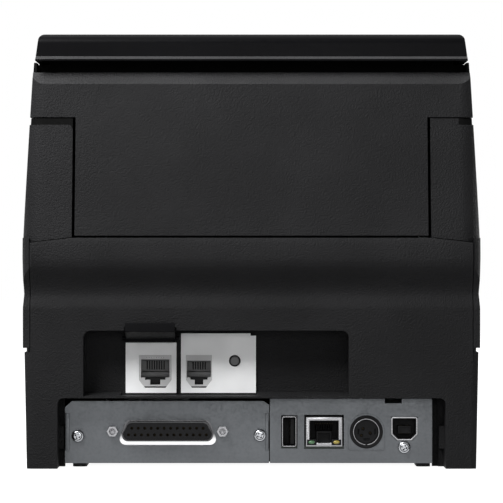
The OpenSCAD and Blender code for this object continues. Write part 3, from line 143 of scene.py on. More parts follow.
def moulded(name, color, roughness, grain, depth, specular=0.3):
    """Moulded plastic: slightly cloudy, with an eroded grain in its gloss and relief."""
    material, shader = new_material(name, color, roughness, specular=specular)
    clouds = pattern(material, "Noise", 28, Detail=3.0)
    tint(material, shader, clouds.outputs["Fac"],
         ([c * 0.88 for c in color], [c * 1.14 for c in color]))
    eroded = pattern(material, "Noise", grain, Detail=2.0)
    vary_roughness(material, shader, eroded.outputs["Fac"], roughness - 0.06, roughness + 0.08)
    relief(material, shader, eroded.outputs["Fac"], depth)
    return material


def soften(name, width):
    """Rounds the sharp edges of a CAD node with live modifiers; its own mesh stays as it is."""
    node = cad[name]
    for polygon in node.data.polygons:
        polygon.use_smooth = True
    weld = node.modifiers.new("weld", "WELD")
    weld.merge_threshold = 0.00001
    flat = node.modifiers.new("flat", "DECIMATE")
    flat.decimate_type = "DISSOLVE"
    flat.angle_limit = math.radians(0.6)
    edge = node.modifiers.new("edge", "BEVEL")
    edge.width = width / 1000
    edge.segments = 2
    edge.limit_method = "ANGLE"
    edge.angle_limit = math.radians(33)
    edge.miter_outer = "MITER_ARC"
    even = node.modifiers.new("even", "WEIGHTED_NORMAL")
    even.keep_sharp = False


def finish_node(names, material):
    for name in names:
        cad[name].data.materials.clear()
        cad[name].data.materials.append(material)


case_grain = moulded("case_grain", (0.0118, 0.0118, 0.0124), 0.5,
                     grain=1500, depth=0.0005, specular=0.05)
finish_node(CASE_EDGES, case_grain)
for name, width in CASE_EDGES.items():
    soften(name, width)


# ---- groove, band and lips ----
# The groove under the top panel, and the lips that close the gaps under the cover's wings, are
# painted near black without the grain: painted shade. The bevelled band at the cover's upper edge
# is painted lighter than the case, with a coarser grain: a painted highlight, since the top panel's
# overhang shades it.
def repaint(name, material, test):
    """Gives a second finish to the faces of a CAD node whose middle and normal pass the test."""
    data = cad[name].data
    data.materials.append(material)
    for polygon in data.polygons:
        if test(polygon.center * 1000, polygon.normal):
            polygon.material_index = len(data.materials) - 1


groove_foot = 169.7
band_foot, band_head = 164.0, 169.65
lip_foot, right_lip_head, lip_front = 147.2, 153, 100
painted_shade_black = moulded("painted_shade_black", (0.003, 0.003, 0.003), 0.7,
                       grain=900, depth=0.000004, specular=0.03)
repaint("receipt_cover", painted_shade_black, lambda c, n: c.z > groove_foot)
# The band is painted lighter than the case: a painted highlight.
band_painted_highlight = moulded("band_painted_highlight", (0.027, 0.027, 0.028), 0.45,
                     grain=1500, depth=0.0006, specular=0.1)
repaint("receipt_cover", band_painted_highlight,
        lambda c, n: band_foot < c.z < band_head and n.y > 0.4 and n.z > 0.4)
# The case's faces under the cover's wings are painted near black: painted shade.
repaint("case_left", painted_shade_black, lambda c, n: c.z > lip_foot and c.y > lip_front)
repaint("case_right", painted_shade_black,
        lambda c, n: lip_foot < c.z < right_lip_head and c.y > lip_front)

# ---- smooth black plastic ----
# Top panel, console, its keys and the port flap: the same plastic from polished tools, so they
# shine more. The keys are a little lighter. The rounded rear lip of the top panel is painted
# lighter as a painted highlight.
PANELS = ["top_panel", "control_panel", "cover_open_button", "power_rocker", "port_flap"]
KEYS = ["receipt_feed_button", "slip_feed_button", "release_button"]
polished = moulded("polished_black", (0.0018, 0.0018, 0.0022), 0.36,
                   grain=900, depth=0.000004, specular=0.035)
key_black = moulded("key_black", (0.03, 0.03, 0.032), 0.42,
                    grain=1800, depth=0.00001, specular=0.2)
lip_painted_highlight = moulded("lip_painted_highlight", (0.017, 0.017, 0.018), 0.3,
                    grain=900, depth=0.000004, specular=0.2)
finish_node(PANELS, polished)
finish_node(KEYS, key_black)
soften("top_panel", 0.5)
for name in PANELS[1:] + KEYS:
    soften(name, 0.3)
panel_bottom, panel_rear, panel_lip_foot, panel_lip_head = 174.5, 128.0, 174.9, 176.3
# The top panel's underside is painted near black, as painted shade, and the upward chamfer of its
# rear lip lighter, as a painted highlight.
repaint("top_panel", painted_shade_black, lambda c, n: n.z < -0.9 and c.z < panel_bottom)
repaint("top_panel", lip_painted_highlight,
        lambda c, n: c.y > panel_rear and panel_lip_foot < c.z < panel_lip_head and n.z > 0.2)

# ---- lamps of the console ----
# Four light guides of green polycarbonate, pushed into the console from below. Their
# polished ends stand a little proud of it.
lens = moulded("lens", (0.1, 0.5, 0.15), 0.18, grain=500, depth=0.000008, specular=0.5)
finish_node(["indicator_lenses"], lens)

# ---- inner mouldings ----
# Unpainted glass-filled plastic inside: the paper bucket, cutter frame, slip guide, carriage and
# ribbon cassette, with the faint swirls of the flowing glass fibre. The ports' cores match.
INNER_MOULDINGS = ["roll_compartment", "cutter_housing", "slip_path_guide", "carriage",
                   "ribbon_cassette"]
inner = moulded("inner_black", (0.0055, 0.0055, 0.006), 0.5,
                grain=1400, depth=0.00001, specular=0.1)
finish_node(INNER_MOULDINGS + ["serial_insert", "power_inlet"], inner)
for name in INNER_MOULDINGS:
    soften(name, 0.4)


# ---- steel parts inside ----
# Folded chassis, hinge pins, motor cans, blades, slip platen and guide shaft: zinc-plated or
# ground steel. The chassis' rear faces, which show in the gap under the cover, are painted black:
# painted shade.
def metal(name, color, roughness, grain=(1, 1, 40), scale=160):
    """Brushed metal, a little stained, whose gloss and relief follow the brushing."""
    material, shader = new_material(name, color, roughness, metallic=1.0)
    brushed = pattern(material, "Noise", scale, stretch=grain, Detail=4.0)
    stains = pattern(material, "Noise", 40, Detail=2.0)
    tint(material, shader, stains.outputs["Fac"], ([c * 0.86 for c in color], color))
    vary_roughness(material, shader, brushed.outputs["Fac"], roughness - 0.08, roughness + 0.12)
    relief(material, shader, brushed.outputs["Fac"], 0.000006)
    return material


zinc = metal("zinc_steel", (0.56, 0.57, 0.59), 0.34)
finish_node(["main_chassis", "cover_hinge_pins", "stepper_motors", "thermal_head", "fixed_blade",
             "moving_blade", "slip_platen", "carriage_shaft", "panel_screws"], zinc)
chassis_shaded_from = 100
# The chassis' rear faces are painted black: painted shade.
repaint("main_chassis", inner, lambda c, n: n.y > 0.9 and c.y > chassis_shaded_from)

# ---- nine-pin print head ----
# A finned aluminium casting, anodised black so that it gives off its heat. It is clipped to
# the carriage.
anodised = metal("anodised_black", (0.06, 0.06, 0.065), 0.4)
finish_node(["print_head"], anodised)

# ---- rollers, belt and feet ----
# Ground rubber sleeves on the platen and the feed rollers, the toothed belt of the carriage,
# and the feet, which are pressed into the bottom of the case.
rubber = moulded("rubber", (0.02, 0.02, 0.021), 0.75, grain=900, depth=0.00002)
finish_node(["platen_roller", "slip_feed_roller", "pinch_roller", "carriage_belt",
             "rubber_feet"], rubber)

# ---- gears, pulleys and knob ----
# Injection-moulded acetal in its natural ivory, pressed on the shafts or turning on pins. The
# motors' own pinions are turned brass.
acetal = moulded("acetal", (0.74, 0.72, 0.66), 0.4, grain=600, depth=0.000004, specular=0.5)
finish_node(["platen_gear", "idler_gear", "slip_roller_gear", "drive_pulley", "idler_pulley",
             "ribbon_knob"], acetal)
brass = metal("turned_brass", (0.72, 0.53, 0.24), 0.25)
finish_node(["feed_pinion", "slip_motor_pinion"], brass)

# ---- circuit boards ----
# Glass-fibre boards under a dark green solder mask, which stands up a little over the copper
# tracks. They are screwed to the chassis.
board_green, track_green = (0.002, 0.014, 0.006), (0.012, 0.05, 0.02)
mask, mask_shader = new_material("solder_mask", board_green, 0.35)
tracks = pattern(mask, "Brick", 220, Mortar_Size=0.018)
tint(mask, mask_shader, tracks.outputs["Fac"], (board_green, track_green), (0.2, 0.8))
relief(mask, mask_shader, tracks.outputs["Fac"], 0.00003)
finish_node(["circuit_boards"], mask)

# ---- metal panels ----
# The connector panel and the interface bracket: steel sheet with a grey coating, bent and
# punched, and screwed to the chassis through the rear wall.
panel_y = 127.0
coated = metal("coated_sheet", (0.095, 0.1, 0.106), 0.46, grain=(1, 1, 1), scale=900)
finish_node(["connector_panel", "interface_bracket"], coated)

# ---- screws of the metal panels ----
# Pan-head machine screws, zinc plated, whose cross recess is painted black as painted shade. They
# hold the interface bracket at both ends and the connector panel beside the square port.
SCREWS = ((74.4, 13.6, 24), (-3.6, 13.9, 62), (-65.4, 8.8, 18))
head_top, head_radius, head_round = panel_y + 2.1, 2.75, 1.55
shank_length, shank_radius = 5.5, 1.45
cross_size, cross_y, cross_reach = (3.4, 2.2, 0.85), panel_y + 1.95, 1.75


def begin(name, kind="cube", **size):
    """Adds a primitive at the origin and opens it in edit mode, all of it selected."""
    bpy.ops.object.select_all(action="DESELECT")
    if kind == "cube":
        size = {"size": 1}
    getattr(bpy.ops.mesh, "primitive_" + kind + "_add")(location=(0, 0, 0), **size)
    piece = bpy.context.object
    piece.name = piece.data.name = name
    bpy.ops.object.mode_set(mode="EDIT")
    bpy.ops.mesh.select_mode(type="FACE")
    bpy.ops.mesh.select_all(action="SELECT")
    return piece


def reopen(piece):
    bpy.ops.object.select_all(action="DESELECT")
    piece.select_set(True)
    bpy.context.view_layer.objects.active = piece
    bpy.ops.object.mode_set(mode="EDIT")
    bpy.ops.mesh.select_mode(type="FACE")


def made_rod(name, x, z, y0, y1, radius, sides):
    """A round bar along the depth."""
    piece = begin(name, "cylinder", vertices=sides, radius=radius / 1000, depth=(y1 - y0) / 1000)
    bpy.ops.transform.rotate(value=math.radians(90), orient_axis="X", center_override=(0, 0, 0))
    bpy.ops.transform.translate(value=(x / 1000, (y0 + y1) / 2000, z / 1000))
    bpy.ops.object.mode_set(mode="OBJECT")
    return piece


def pick(test):
    """Selects the faces whose centre and normal pass the test."""
    bpy.ops.mesh.select_all(action="DESELECT")
    mesh = bmesh.from_edit_mesh(bpy.context.object.data)
    mesh.normal_update()
    for face in mesh.faces:
        face.select_set(bool(test(face.calc_center_median() * 1000, face.normal)))
    bmesh.update_edit_mesh(bpy.context.object.data)


def pick_rear():
    pick(lambda c, n: n.y > 0.9)


def cut(piece, cutter):
    """Takes one mesh out of another."""
    bpy.context.view_layer.objects.active = piece
    hole = piece.modifiers.new("hole", "BOOLEAN")
    hole.operation = "DIFFERENCE"
    hole.object = cutter
    hole.solver = "EXACT"
    bpy.ops.object.modifier_apply(modifier="hole")
    bpy.data.objects.remove(cutter, do_unlink=True)


def merged(pieces, name):
    """Joins like pieces into one mesh."""
    bpy.ops.object.select_all(action="DESELECT")
    for piece in pieces:
        piece.select_set(True)
    bpy.context.view_layer.objects.active = pieces[0]
    bpy.ops.object.join()
    pieces[0].name = pieces[0].data.name = name
    return pieces[0]


def finish(piece, material, body="base", edge=0.0, smooth=35):
    """Closes edit mode, breaks the edges, shades, paints and hangs the piece on its body."""
    if bpy.context.mode != "OBJECT":
        bpy.ops.object.mode_set(mode="OBJECT")
    bpy.ops.object.select_all(action="DESELECT")
    piece.select_set(True)
    bpy.context.view_layer.objects.active = piece
    if edge:
        broken = piece.modifiers.new("broken", "BEVEL")
        broken.width = edge / 1000
        broken.segments = 2
        broken.limit_method = "ANGLE"
        broken.angle_limit = math.radians(35)
        bpy.ops.object.modifier_apply(modifier="broken")
    bpy.ops.object.shade_smooth_by_angle(angle=math.radians(smooth))
    piece.data.materials.clear()
    piece.data.materials.append(material)
    for polygon in piece.data.polygons:
        polygon.material_index = 0
    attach(piece, body)
    return piece


bright_zinc = metal("bright_zinc", (0.4, 0.41, 0.43), 0.2)
heads = []
for number, (x, z, turn) in enumerate(SCREWS):
    head = made_rod(f"panel_screw_{number + 1}", x, z, panel_y - 0.02, head_top, head_radius, 40)
    reopen(head)
    pick_rear()
    bpy.ops.mesh.bevel(offset=head_round / 1000, segments=7, profile=0.5)
    bpy.ops.object.mode_set(mode="OBJECT")
    blades = []
    for quarter in (0, 90):
        blade = begin("recess_blade")
        bpy.ops.transform.resize(value=[side / 1000 for side in cross_size],
                                 center_override=(0, 0, 0))
        pick(lambda c, n: n.y < -0.9)
        bpy.ops.transform.resize(value=(0.45, 1, 0.7),
                                 center_override=(0, -cross_size[1] / 2000, 0))
        bpy.ops.mesh.select_all(action="SELECT")
        bpy.ops.transform.rotate(value=math.radians(turn + quarter), orient_axis="Y",
                                 center_override=(0, 0, 0))
        bpy.ops.transform.translate(value=(x / 1000, cross_y / 1000, z / 1000))
        bpy.ops.object.mode_set(mode="OBJECT")
        blades.append(blade)
    for blade in blades:
        cut(head, blade)
    shank = made_rod("shank", x, z, panel_y - shank_length, panel_y, shank_radius, 24)
    heads.append(merged([head, shank], head.name))
for head, (x, z, turn) in zip(heads, SCREWS):
    finish(head, bright_zinc, smooth=40)
    # The faces sunk in the cross recess are painted black: painted shade.
    head.data.materials.append(inner)
    for polygon in head.data.polygons:
        c, n = polygon.center * 1000, polygon.normal
        recess_shade = panel_y + 0.5 < c.y < head_top - 0.05 and n.y < 0.97
        if recess_shade and math.hypot(c.x - x, c.z - z) < cross_reach:
            polygon.material_index = 1
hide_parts("panel_screws")

# ---- network jack ----
# A through-hole jack: tin-plated shield folded over a black housing, eight gold-plated spring
# wires and two lamps in its lower corners. Its feet are soldered to the main board.
network_x = -31.1
wire_count, wire_pitch, wire_droop, wire_bend = 8, 1.02, 3.5, 6
lamp_radius, lamp_offset, lamp_z = 1, 5.3, 10.83


def made_box(name, low, high):
    """A block between two corners."""
    piece = begin(name)
    bpy.ops.transform.resize(value=[(b - a) / 1000 for a, b in zip(low, high)],
                             center_override=(0, 0, 0))
    bpy.ops.transform.translate(value=[(a + b) / 2000 for a, b in zip(low, high)])
    bpy.ops.object.mode_set(mode="OBJECT")
    return piece


def rim(width, depth):
    """Leaves a rim of a width round the selected face and sinks its middle."""
    bpy.ops.mesh.inset(thickness=width / 1000)
    bpy.ops.mesh.extrude_region_move(TRANSFORM_OT_translate={"value": (0, -depth / 1000, 0)})


def made_tray(name, low, high, wall, depth):
    """A block whose rear face is sunk inside a wall, still open in edit mode."""
    piece = made_box(name, low, high)
    reopen(piece)
    pick_rear()
    rim(wall, depth)
    return piece


def twins(piece, places):
    """Copies a piece to other places, counted from its own, each with its own mesh."""
    made = [piece]
    for count, place in enumerate(places):
        twin = piece.copy()
        twin.data = piece.data.copy()
        twin.name = twin.data.name = f"{piece.name}_{count + 2}"
        twin.data.transform(mathutils.Matrix.Translation([p / 1000 for p in place]))
        bpy.context.scene.collection.objects.link(twin)
        made.append(twin)
    return made


tin = metal("tin_plate", (0.3, 0.3, 0.31), 0.28)
# The gold of the contacts is painted nearly black: painted shade for contacts sunk deep in their
# ports.
shaded_gold = metal("shaded_gold", (0.012, 0.009, 0.005), 0.35)
lamp_green = moulded("lamp_green", (0.05, 0.13, 0.055), 0.25,
                     grain=700, depth=0.00001, specular=0.5)
lamp_amber = moulded("lamp_amber", (0.27, 0.21, 0.03), 0.25,
                     grain=700, depth=0.00001, specular=0.5)
finish_node(["network_jack"], tin)
shield = made_tray("network_shield", (network_x - 7.8, panel_y - 18, 9.0),
                   (network_x + 7.8, panel_y + 0.3, 21.7), 1.55, 12)
finish(shield, tin, edge=0.25)
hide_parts("network_jack")
housing = made_tray("network_housing", (network_x - 6.25, panel_y - 11.9, 9.6),
                    (network_x + 6.25, panel_y - 0.25, 20.2), 0.3, 9)
finish(housing, inner, edge=0.08)
corners = []
for side, lamp_material, lamp_name in ((1, lamp_green, "network_lamp_green"),
                                       (-1, lamp_amber, "network_lamp_amber")):
    middle = network_x + lamp_offset * side
    corners.append(made_box("network_corner", (middle - 2.1, panel_y - 6, 9.55),
                            (middle + 2.1, panel_y + 0.38, 12.1)))
    lamp = begin(lamp_name, "uv_sphere", segments=24, ring_count=12, radius=lamp_radius / 1000)
    bpy.ops.transform.resize(value=(1.45, 0.5, 0.82), center_override=(0, 0, 0))
    bpy.ops.transform.translate(value=(middle / 1000, (panel_y + 0.25) / 1000, lamp_z / 1000))
    pick(lambda c, n: c.y < panel_y - 0.1)
    bpy.ops.mesh.delete(type="FACE")
    bpy.ops.mesh.select_mode(type="EDGE")
    bpy.ops.mesh.select_all(action="DESELECT")
    bpy.ops.mesh.select_non_manifold()
    bpy.ops.mesh.edge_face_add()
    finish(lamp, lamp_material, smooth=60)
finish(merged(corners, "network_corners"), inner, edge=0.2)
tab = made_box("network_tab", (network_x + 2.4, panel_y - 2, 9.0),
               (network_x + 3.3, panel_y + 0.35, 10.7))
finish(merged(twins(tab, [(-5.7, 0, 0)]), "network_tabs"), tin, edge=0.15)
latch = made_tray("network_latch_guide", (network_x - 3.2, panel_y - 8, 9.8),
                  (network_x + 3.2, panel_y - 2.6, 15.4), 0.7, 3)
finish(latch, inner, edge=0.15)
wire = made_box("network_wire", (network_x - 3.74, panel_y - 9, 18.6),
                (network_x - 3.4, panel_y - 1.6, 18.95))
reopen(wire)
bpy.ops.mesh.subdivide(number_cuts=5)
pick(lambda c, n: n.y < -0.9)
bpy.ops.transform.translate(value=(0, 0, -wire_droop / 1000), use_proportional_edit=True,
                            proportional_edit_falloff="SMOOTH",
                            proportional_size=wire_bend / 1000)
bpy.ops.object.mode_set(mode="OBJECT")
wires = merged(twins(wire, [(wire_pitch * i, 0, 0) for i in range(1, wire_count)]),
               "network_wires")
finish(wires, shaded_gold)

# ---- host port ----
# An upright flat port: a rolled tin shell, a black tongue on its left and four gold contacts.
# It stands on the main board, just inside its opening in the panel.
host_x = -16.15


def pick_edges(test):
    """Selects the edges whose two ends pass the test."""
    bpy.ops.mesh.select_mode(type="EDGE")
    bpy.ops.mesh.select_all(action="DESELECT")
    mesh = bmesh.from_edit_mesh(bpy.context.object.data)
    for edge in mesh.edges:
        edge.select_set(bool(test(edge.verts[0].co * 1000, edge.verts[1].co * 1000)))
    bmesh.update_edit_mesh(bpy.context.object.data)


def bevel_along(test, width, segments):
    """Bevels the edges that run along the depth and whose first end passes the test."""
    pick_edges(lambda a, b: abs(a.y - b.y) > 0.5 and test(a))
    bpy.ops.mesh.bevel(offset=width / 1000, segments=segments)
    bpy.ops.mesh.select_mode(type="FACE")


finish_node(["usb_host_port"], tin)
shell = made_box("host_shell", (host_x - 3.05, panel_y - 14.5, 9.0),
                 (host_x + 3.05, panel_y + 0.35, 21.9))
reopen(shell)
bevel_along(lambda end: True, 0.8, 4)
pick_rear()
rim(0.3, 12)
finish(shell, tin, edge=0.06)
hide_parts("usb_host_port")
# A thin black tray lines the inside of the shell so it shows dark: painted shade.
shade_lining = made_tray("host_shade_lining", (host_x - 2.72, panel_y - 12.2, 9.35),
                   (host_x + 2.72, panel_y - 0.35, 21.55), 0.12, 10)
finish(shade_lining, inner)
tongue = made_box("host_tongue", (host_x - 2.3, panel_y - 12, 9.9),
                  (host_x - 0.5, panel_y - 0.9, 21.0))
finish(tongue, inner, edge=0.25)
contact = made_box("host_contact", (host_x - 0.52, panel_y - 9, 11.0),
                   (host_x - 0.32, panel_y - 1.7, 12.1))
contacts = merged(twins(contact, [(0, 0, 2.4), (0, 0, 4.6), (0, 0, 7.0)]), "host_contacts")
finish(contacts, shaded_gold, edge=0.06)

# ---- device port ----
# A square port with two cut corners: tin shell, black core in its middle and four contacts.
# It stands on the main board beside the power inlet.
device_x = -65.5
finish_node(["usb_device_port"], tin)
shell = made_box("device_shell", (device_x - 5.65, panel_y - 14, 11.65),
                 (device_x + 5.65, panel_y + 0.5, 21.75))
reopen(shell)
bevel_along(lambda end: end.z < 12, 2.6, 1)
bevel_along(lambda end: end.z > 21, 0.9, 4)
pick_rear()
rim(0.6, 9)
finish(shell, tin, edge=0.18)
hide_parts("usb_device_port")
# A thin black tray lines the inside of the shell so it shows dark: painted shade.
shade_lining = made_box("device_shade_lining", (device_x - 4.95, panel_y - 8.9, 12.3),
                  (device_x + 4.95, panel_y - 0.5, 21.1))
reopen(shade_lining)
bevel_along(lambda end: end.z < 13, 2.4, 1)
pick_rear()
rim(0.15, 7)
finish(shade_lining, inner)
core = made_tray("device_core", (device_x - 2.75, panel_y - 8, 14.6),
                 (device_x + 2.75, panel_y - 0.9, 17.8), 0.5, 0.4)
finish(core, inner, edge=0.12)
contact = made_box("device_contact", (device_x + 0.9, panel_y - 8, 17.75),
                   (device_x + 1.9, panel_y - 1.6, 17.95))
contacts = merged(twins(contact, [(-2.8, 0, 0), (0, 0, -3.3), (-2.8, 0, -3.3)]),
                  "device_contacts")
finish(contacts, shaded_gold)

# ---- power inlet ----
# A round locking inlet of three poles: black collar, a nickel ring split at the bottom and a
# black core with its pins sunk in it. It stands on the main board.
inlet_x, inlet_z = -49.2, 15.3
PINS = ((1.4, 1.35), (-1.68, -0.57), (2.1, -1.6))
KEY_SLOTS = ((3.0, 3.75, -1.1, 1.3), (-4.2, -3.5, -1.1, 1.4), (-1.4, 1.3, -3.7, -2.7))
collar = made_rod("inlet_collar", inlet_x, inlet_z, panel_y - 2.5, panel_y + 0.32, 7.1, 64)
reopen(collar)
pick_rear()
rim(1.3, 1.6)
bpy.ops.object.mode_set(mode="OBJECT")
block = made_box("inlet_block", (inlet_x - 7, panel_y - 17, 9.2),
                 (inlet_x + 7, panel_y - 2.5, inlet_z + 6.5))
collar = finish(merged([collar, block], "inlet_collar"), inner, edge=0.25)
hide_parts("power_inlet")
ring = made_rod("inlet_ring", inlet_x, inlet_z, panel_y - 1.6, panel_y + 0.12, 5.62, 64)
reopen(ring)
pick_rear()
rim(0.27, 1.55)
finish(ring, tin, edge=0.08)
core = made_rod("inlet_core", inlet_x, inlet_z, panel_y - 1.5, panel_y - 0.35, 4.85, 64)
holes = [made_rod("pin_hole", inlet_x + dx, inlet_z + dz, panel_y - 1.3, panel_y + 1, 0.8, 24)
         for dx, dz in PINS]
holes += [made_box("key_slot", (inlet_x + left, panel_y - 1.3, inlet_z + low),
                   (inlet_x + right, panel_y + 1, inlet_z + high))
          for left, right, low, high in KEY_SLOTS]
for hole in holes:
    cut(core, hole)
finish(core, inner, smooth=20)
pins = merged([made_rod("pin", inlet_x + dx, inlet_z + dz, panel_y - 1.5, panel_y - 0.9, 0.45, 20)
               for dx, dz in PINS], "inlet_pins")
finish(pins, shaded_gold, edge=0.08)
split = made_box("inlet_split", (inlet_x - 0.45, panel_y - 1.4, inlet_z - 5.75),
                 (inlet_x + 0.45, panel_y + 0.2, inlet_z - 4.9))
tab = made_box("inlet_tab", (inlet_x - 1.05, panel_y - 1, inlet_z + 6.05),
               (inlet_x + 1.05, panel_y + 0.42, inlet_z + 6.75))
finish(merged([split, tab], "inlet_keys"), inner, edge=0.12)

# ---- line round the inlet ----
# A thin line embossed in the panel round the inlet, rounded at its top: an outer block with
# a smaller one taken out of it.
outlines = []
for name, grow, y0, y1 in (("inlet_emboss", 8.0, panel_y - 0.4, panel_y + 0.22),
                           ("inlet_emboss_inside", 7.66, panel_y - 1, panel_y + 1)):
    outline = made_box(name, (inlet_x - grow, y0, inlet_z - grow),
                       (inlet_x + grow, y1, inlet_z + grow))
    reopen(outline)
    bevel_along(lambda end: end.z > inlet_z, grow - 0.05, 12)
    bevel_along(lambda end: end.z < inlet_z - 7, 1, 4)
    bpy.ops.object.mode_set(mode="OBJECT")
    outlines.append(outline)
cut(outlines[0], outlines[1])
finish(outlines[0], coated, edge=0.08)

# ---- modular jacks and their plates ----
# Two grey jacks behind light plates. Each has a comb that guides its spring wires, a ledge
# below it, a black block in its latch well and a black strip under it, both painted shade, and,
# in the larger one, wire ends that show as points.
JACKS = (("display", 41.4, 8, 6.05, 46.15), ("drawer", 22.6, 6, 5.1, 45.65))
plate_y = 121.5
spring_pitch = 1.04
pale = moulded("pale_plate", (0.8, 0.805, 0.81), 0.45, grain=1500, depth=0.000006)
jack_grey = moulded("jack_grey", (0.46, 0.46, 0.465), 0.45, grain=1500, depth=0.000006)
comb_grey = moulded("comb_grey", (0.12, 0.12, 0.122), 0.5, grain=1500, depth=0.000006)
finish_node(["jack_plates"], pale)
finish_node(["modular_jacks"], jack_grey)
for name, middle, springs, half, top in JACKS:
    first = middle - spring_pitch * (springs - 1) / 2
    others = [(spring_pitch * i, 0, 0) for i in range(1, springs)]
    comb = made_tray(f"{name}_comb", (middle - half, plate_y - 9, 40.9),
                     (middle + half, plate_y - 4.4, top), 0.7, 0.5)
    finish(comb, comb_grey, edge=0.1)
    slot = made_box(f"{name}_slot", (first - 0.27, plate_y - 6, 41.3),
                    (first + 0.27, plate_y - 4.5, top - 0.5))
    finish(merged(twins(slot, others), f"{name}_slots"), inner, edge=0.05)
    ledge = made_box(f"{name}_ledge", (middle - half, plate_y - 9, 38.4),
                     (middle + half, plate_y - 3.2, 40.7))
    finish(ledge, comb_grey, edge=0.3)
    if name == "display":
        tip = made_box("display_tip", (first - 0.24, plate_y + 1.2, 46.85),
                       (first + 0.24, plate_y + 1.62, 47.3))
        finish(merged(twins(tip, others), "display_tips"), tin, edge=0.1)
    # A black block in the latch cavity and a black strip under the jack: painted shade.
    latch_shade_block = made_box(f"{name}_latch_well", (middle - half * 0.8, plate_y - 4, 35.0),
                    (middle + half * 0.8, plate_y - 1.2, 38.37))
    strip = made_box(f"{name}_strip", (middle - half, plate_y - 2.4, 33.9),
                     (middle + half, plate_y - 0.4, 34.58))
    finish(merged([latch_shade_block, strip], latch_shade_block.name), inner, edge=0.1)

# ---- reset key ----
# A small grey key in a black bush that is pressed into the light plate. It stands on a switch
# of the main board and is pushed with a pen.
key_x, key_z = 7.2, 45.6
key_grey = moulded("key_grey", (0.07, 0.07, 0.072), 0.4, grain=1500, depth=0.000006)
finish_node(["reset_button"], key_grey)
bush = made_rod("reset_bush", key_x, key_z, plate_y + 0.3, plate_y + 1.72, 2.5, 40)
bore = made_rod("bush_bore", key_x, key_z, plate_y - 1, plate_y + 3, 1.95, 40)
cut(bush, bore)
finish(bush, inner, edge=0.1)

# ---- serial connector ----
# A 25-way connector with a black-plated shell on a bare steel flange, painted nearly white low
# down as a painted reflection of the table and dark above as painted shade. Hexagonal nuts hold it,
# and turned contacts, gold plated, stand in the bores of its insert.
serial_x, serial_z = 35.9, 15.7
socket_pitch, row_offset, socket_wall, socket_depth = 2.77, 1.42, 0.18, 0.8
flange_rear = 126
painted_reflection_top, painted_shade_from = 11.5, 14.5
black_zinc = metal("black_zinc", (0.05, 0.05, 0.052), 0.36)
nut_steel = metal("nut_steel", (0.27, 0.27, 0.28), 0.3)
# The flange's colour is nearly white low down, a painted reflection of the table, and dark higher
# up, painted shade.
flange, flange_shader = new_material("flange_painted_reflection", (0.8, 0.8, 0.8), 0.3, metallic=1.0)
nodes, links = flange.node_tree.nodes, flange.node_tree.links
place = nodes.new("ShaderNodeTexCoord")
heights = nodes.new("ShaderNodeSeparateXYZ")
painted_light_fade = nodes.new("ShaderNodeMapRange")
painted_light_fade.inputs["From Min"].default_value = painted_reflection_top / 1000
painted_light_fade.inputs["From Max"].default_value = painted_shade_from / 1000
links.new(place.outputs["Object"], heights.inputs[0])
links.new(heights.outputs["Z"], painted_light_fade.inputs["Value"])
tint(flange, flange_shader, painted_light_fade.outputs["Result"],
     ((0.85, 0.85, 0.86), (0.12, 0.12, 0.125)), (0, 1))
finish_node(["serial_connector"], zinc)
repaint("serial_connector", black_zinc, lambda c, n: c.y > flange_rear)
repaint("serial_connector", flange, lambda c, n: c.y < flange_rear and n.y > 0.9)
finish_node(["jack_screws"], nut_steel)
sockets = []
for count, dz in ((13, -row_offset), (12, row_offset)):
    for i in range(count):
        x = serial_x + (i - (count - 1) / 2) * socket_pitch
        sockets.append(made_rod("socket", x, serial_z + dz, panel_y + 0.6, panel_y + 1.6, 0.55, 12))
contacts = merged(sockets, "socket_contacts")
reopen(contacts)
pick_rear()
bpy.ops.mesh.inset(thickness=socket_wall / 1000, use_individual=True)
bpy.ops.mesh.extrude_region_move(TRANSFORM_OT_translate={"value": (0, -socket_depth / 1000, 0)})
finish(contacts, shaded_gold)

# ---- hems and seam of the interface bracket ----
# The bracket's ends are hemmed, so a folded strip shows along both upright edges. A black
# strip behind it darkens the seam to the connector panel: painted shade.
for name, x0, x1 in (("outer", 78.0, 79.85), ("inner", -7.35, -5.9)):
    hem = made_box(f"bracket_hem_{name}", (x0, panel_y - 1.4, 7.2), (x1, panel_y + 0.35, 23.4))
    finish(hem, coated, edge=0.3)
# A black strip behind the seam: painted shade.
seam = made_box("bracket_seam_shade", (-9.0, panel_y - 2.6, 2.4), (-5.4, panel_y - 1.8, 27.0))
finish(seam, inner, edge=0.2)

# ---- ribs inside the receipt cover ----
# Stiffening ribs moulded under the deck of the cover, seen when it stands open. Three run
# across and four along the depth.
rib_low, rib_high, rib_half = 165.2, 168.4, 0.8
ribs = [made_box("rib", (-72, y - rib_half, rib_low), (72, y + rib_half, rib_high))
        for y in (46, 70, 94)]
ribs += [made_box("rib", (x - rib_half, 40, rib_low), (x + rib_half, 108, rib_high))
         for x in (-54, -18, 18, 54)]
finish(merged(ribs, "cover_ribs"), inner, body="receipt_cover", edge=0.25)

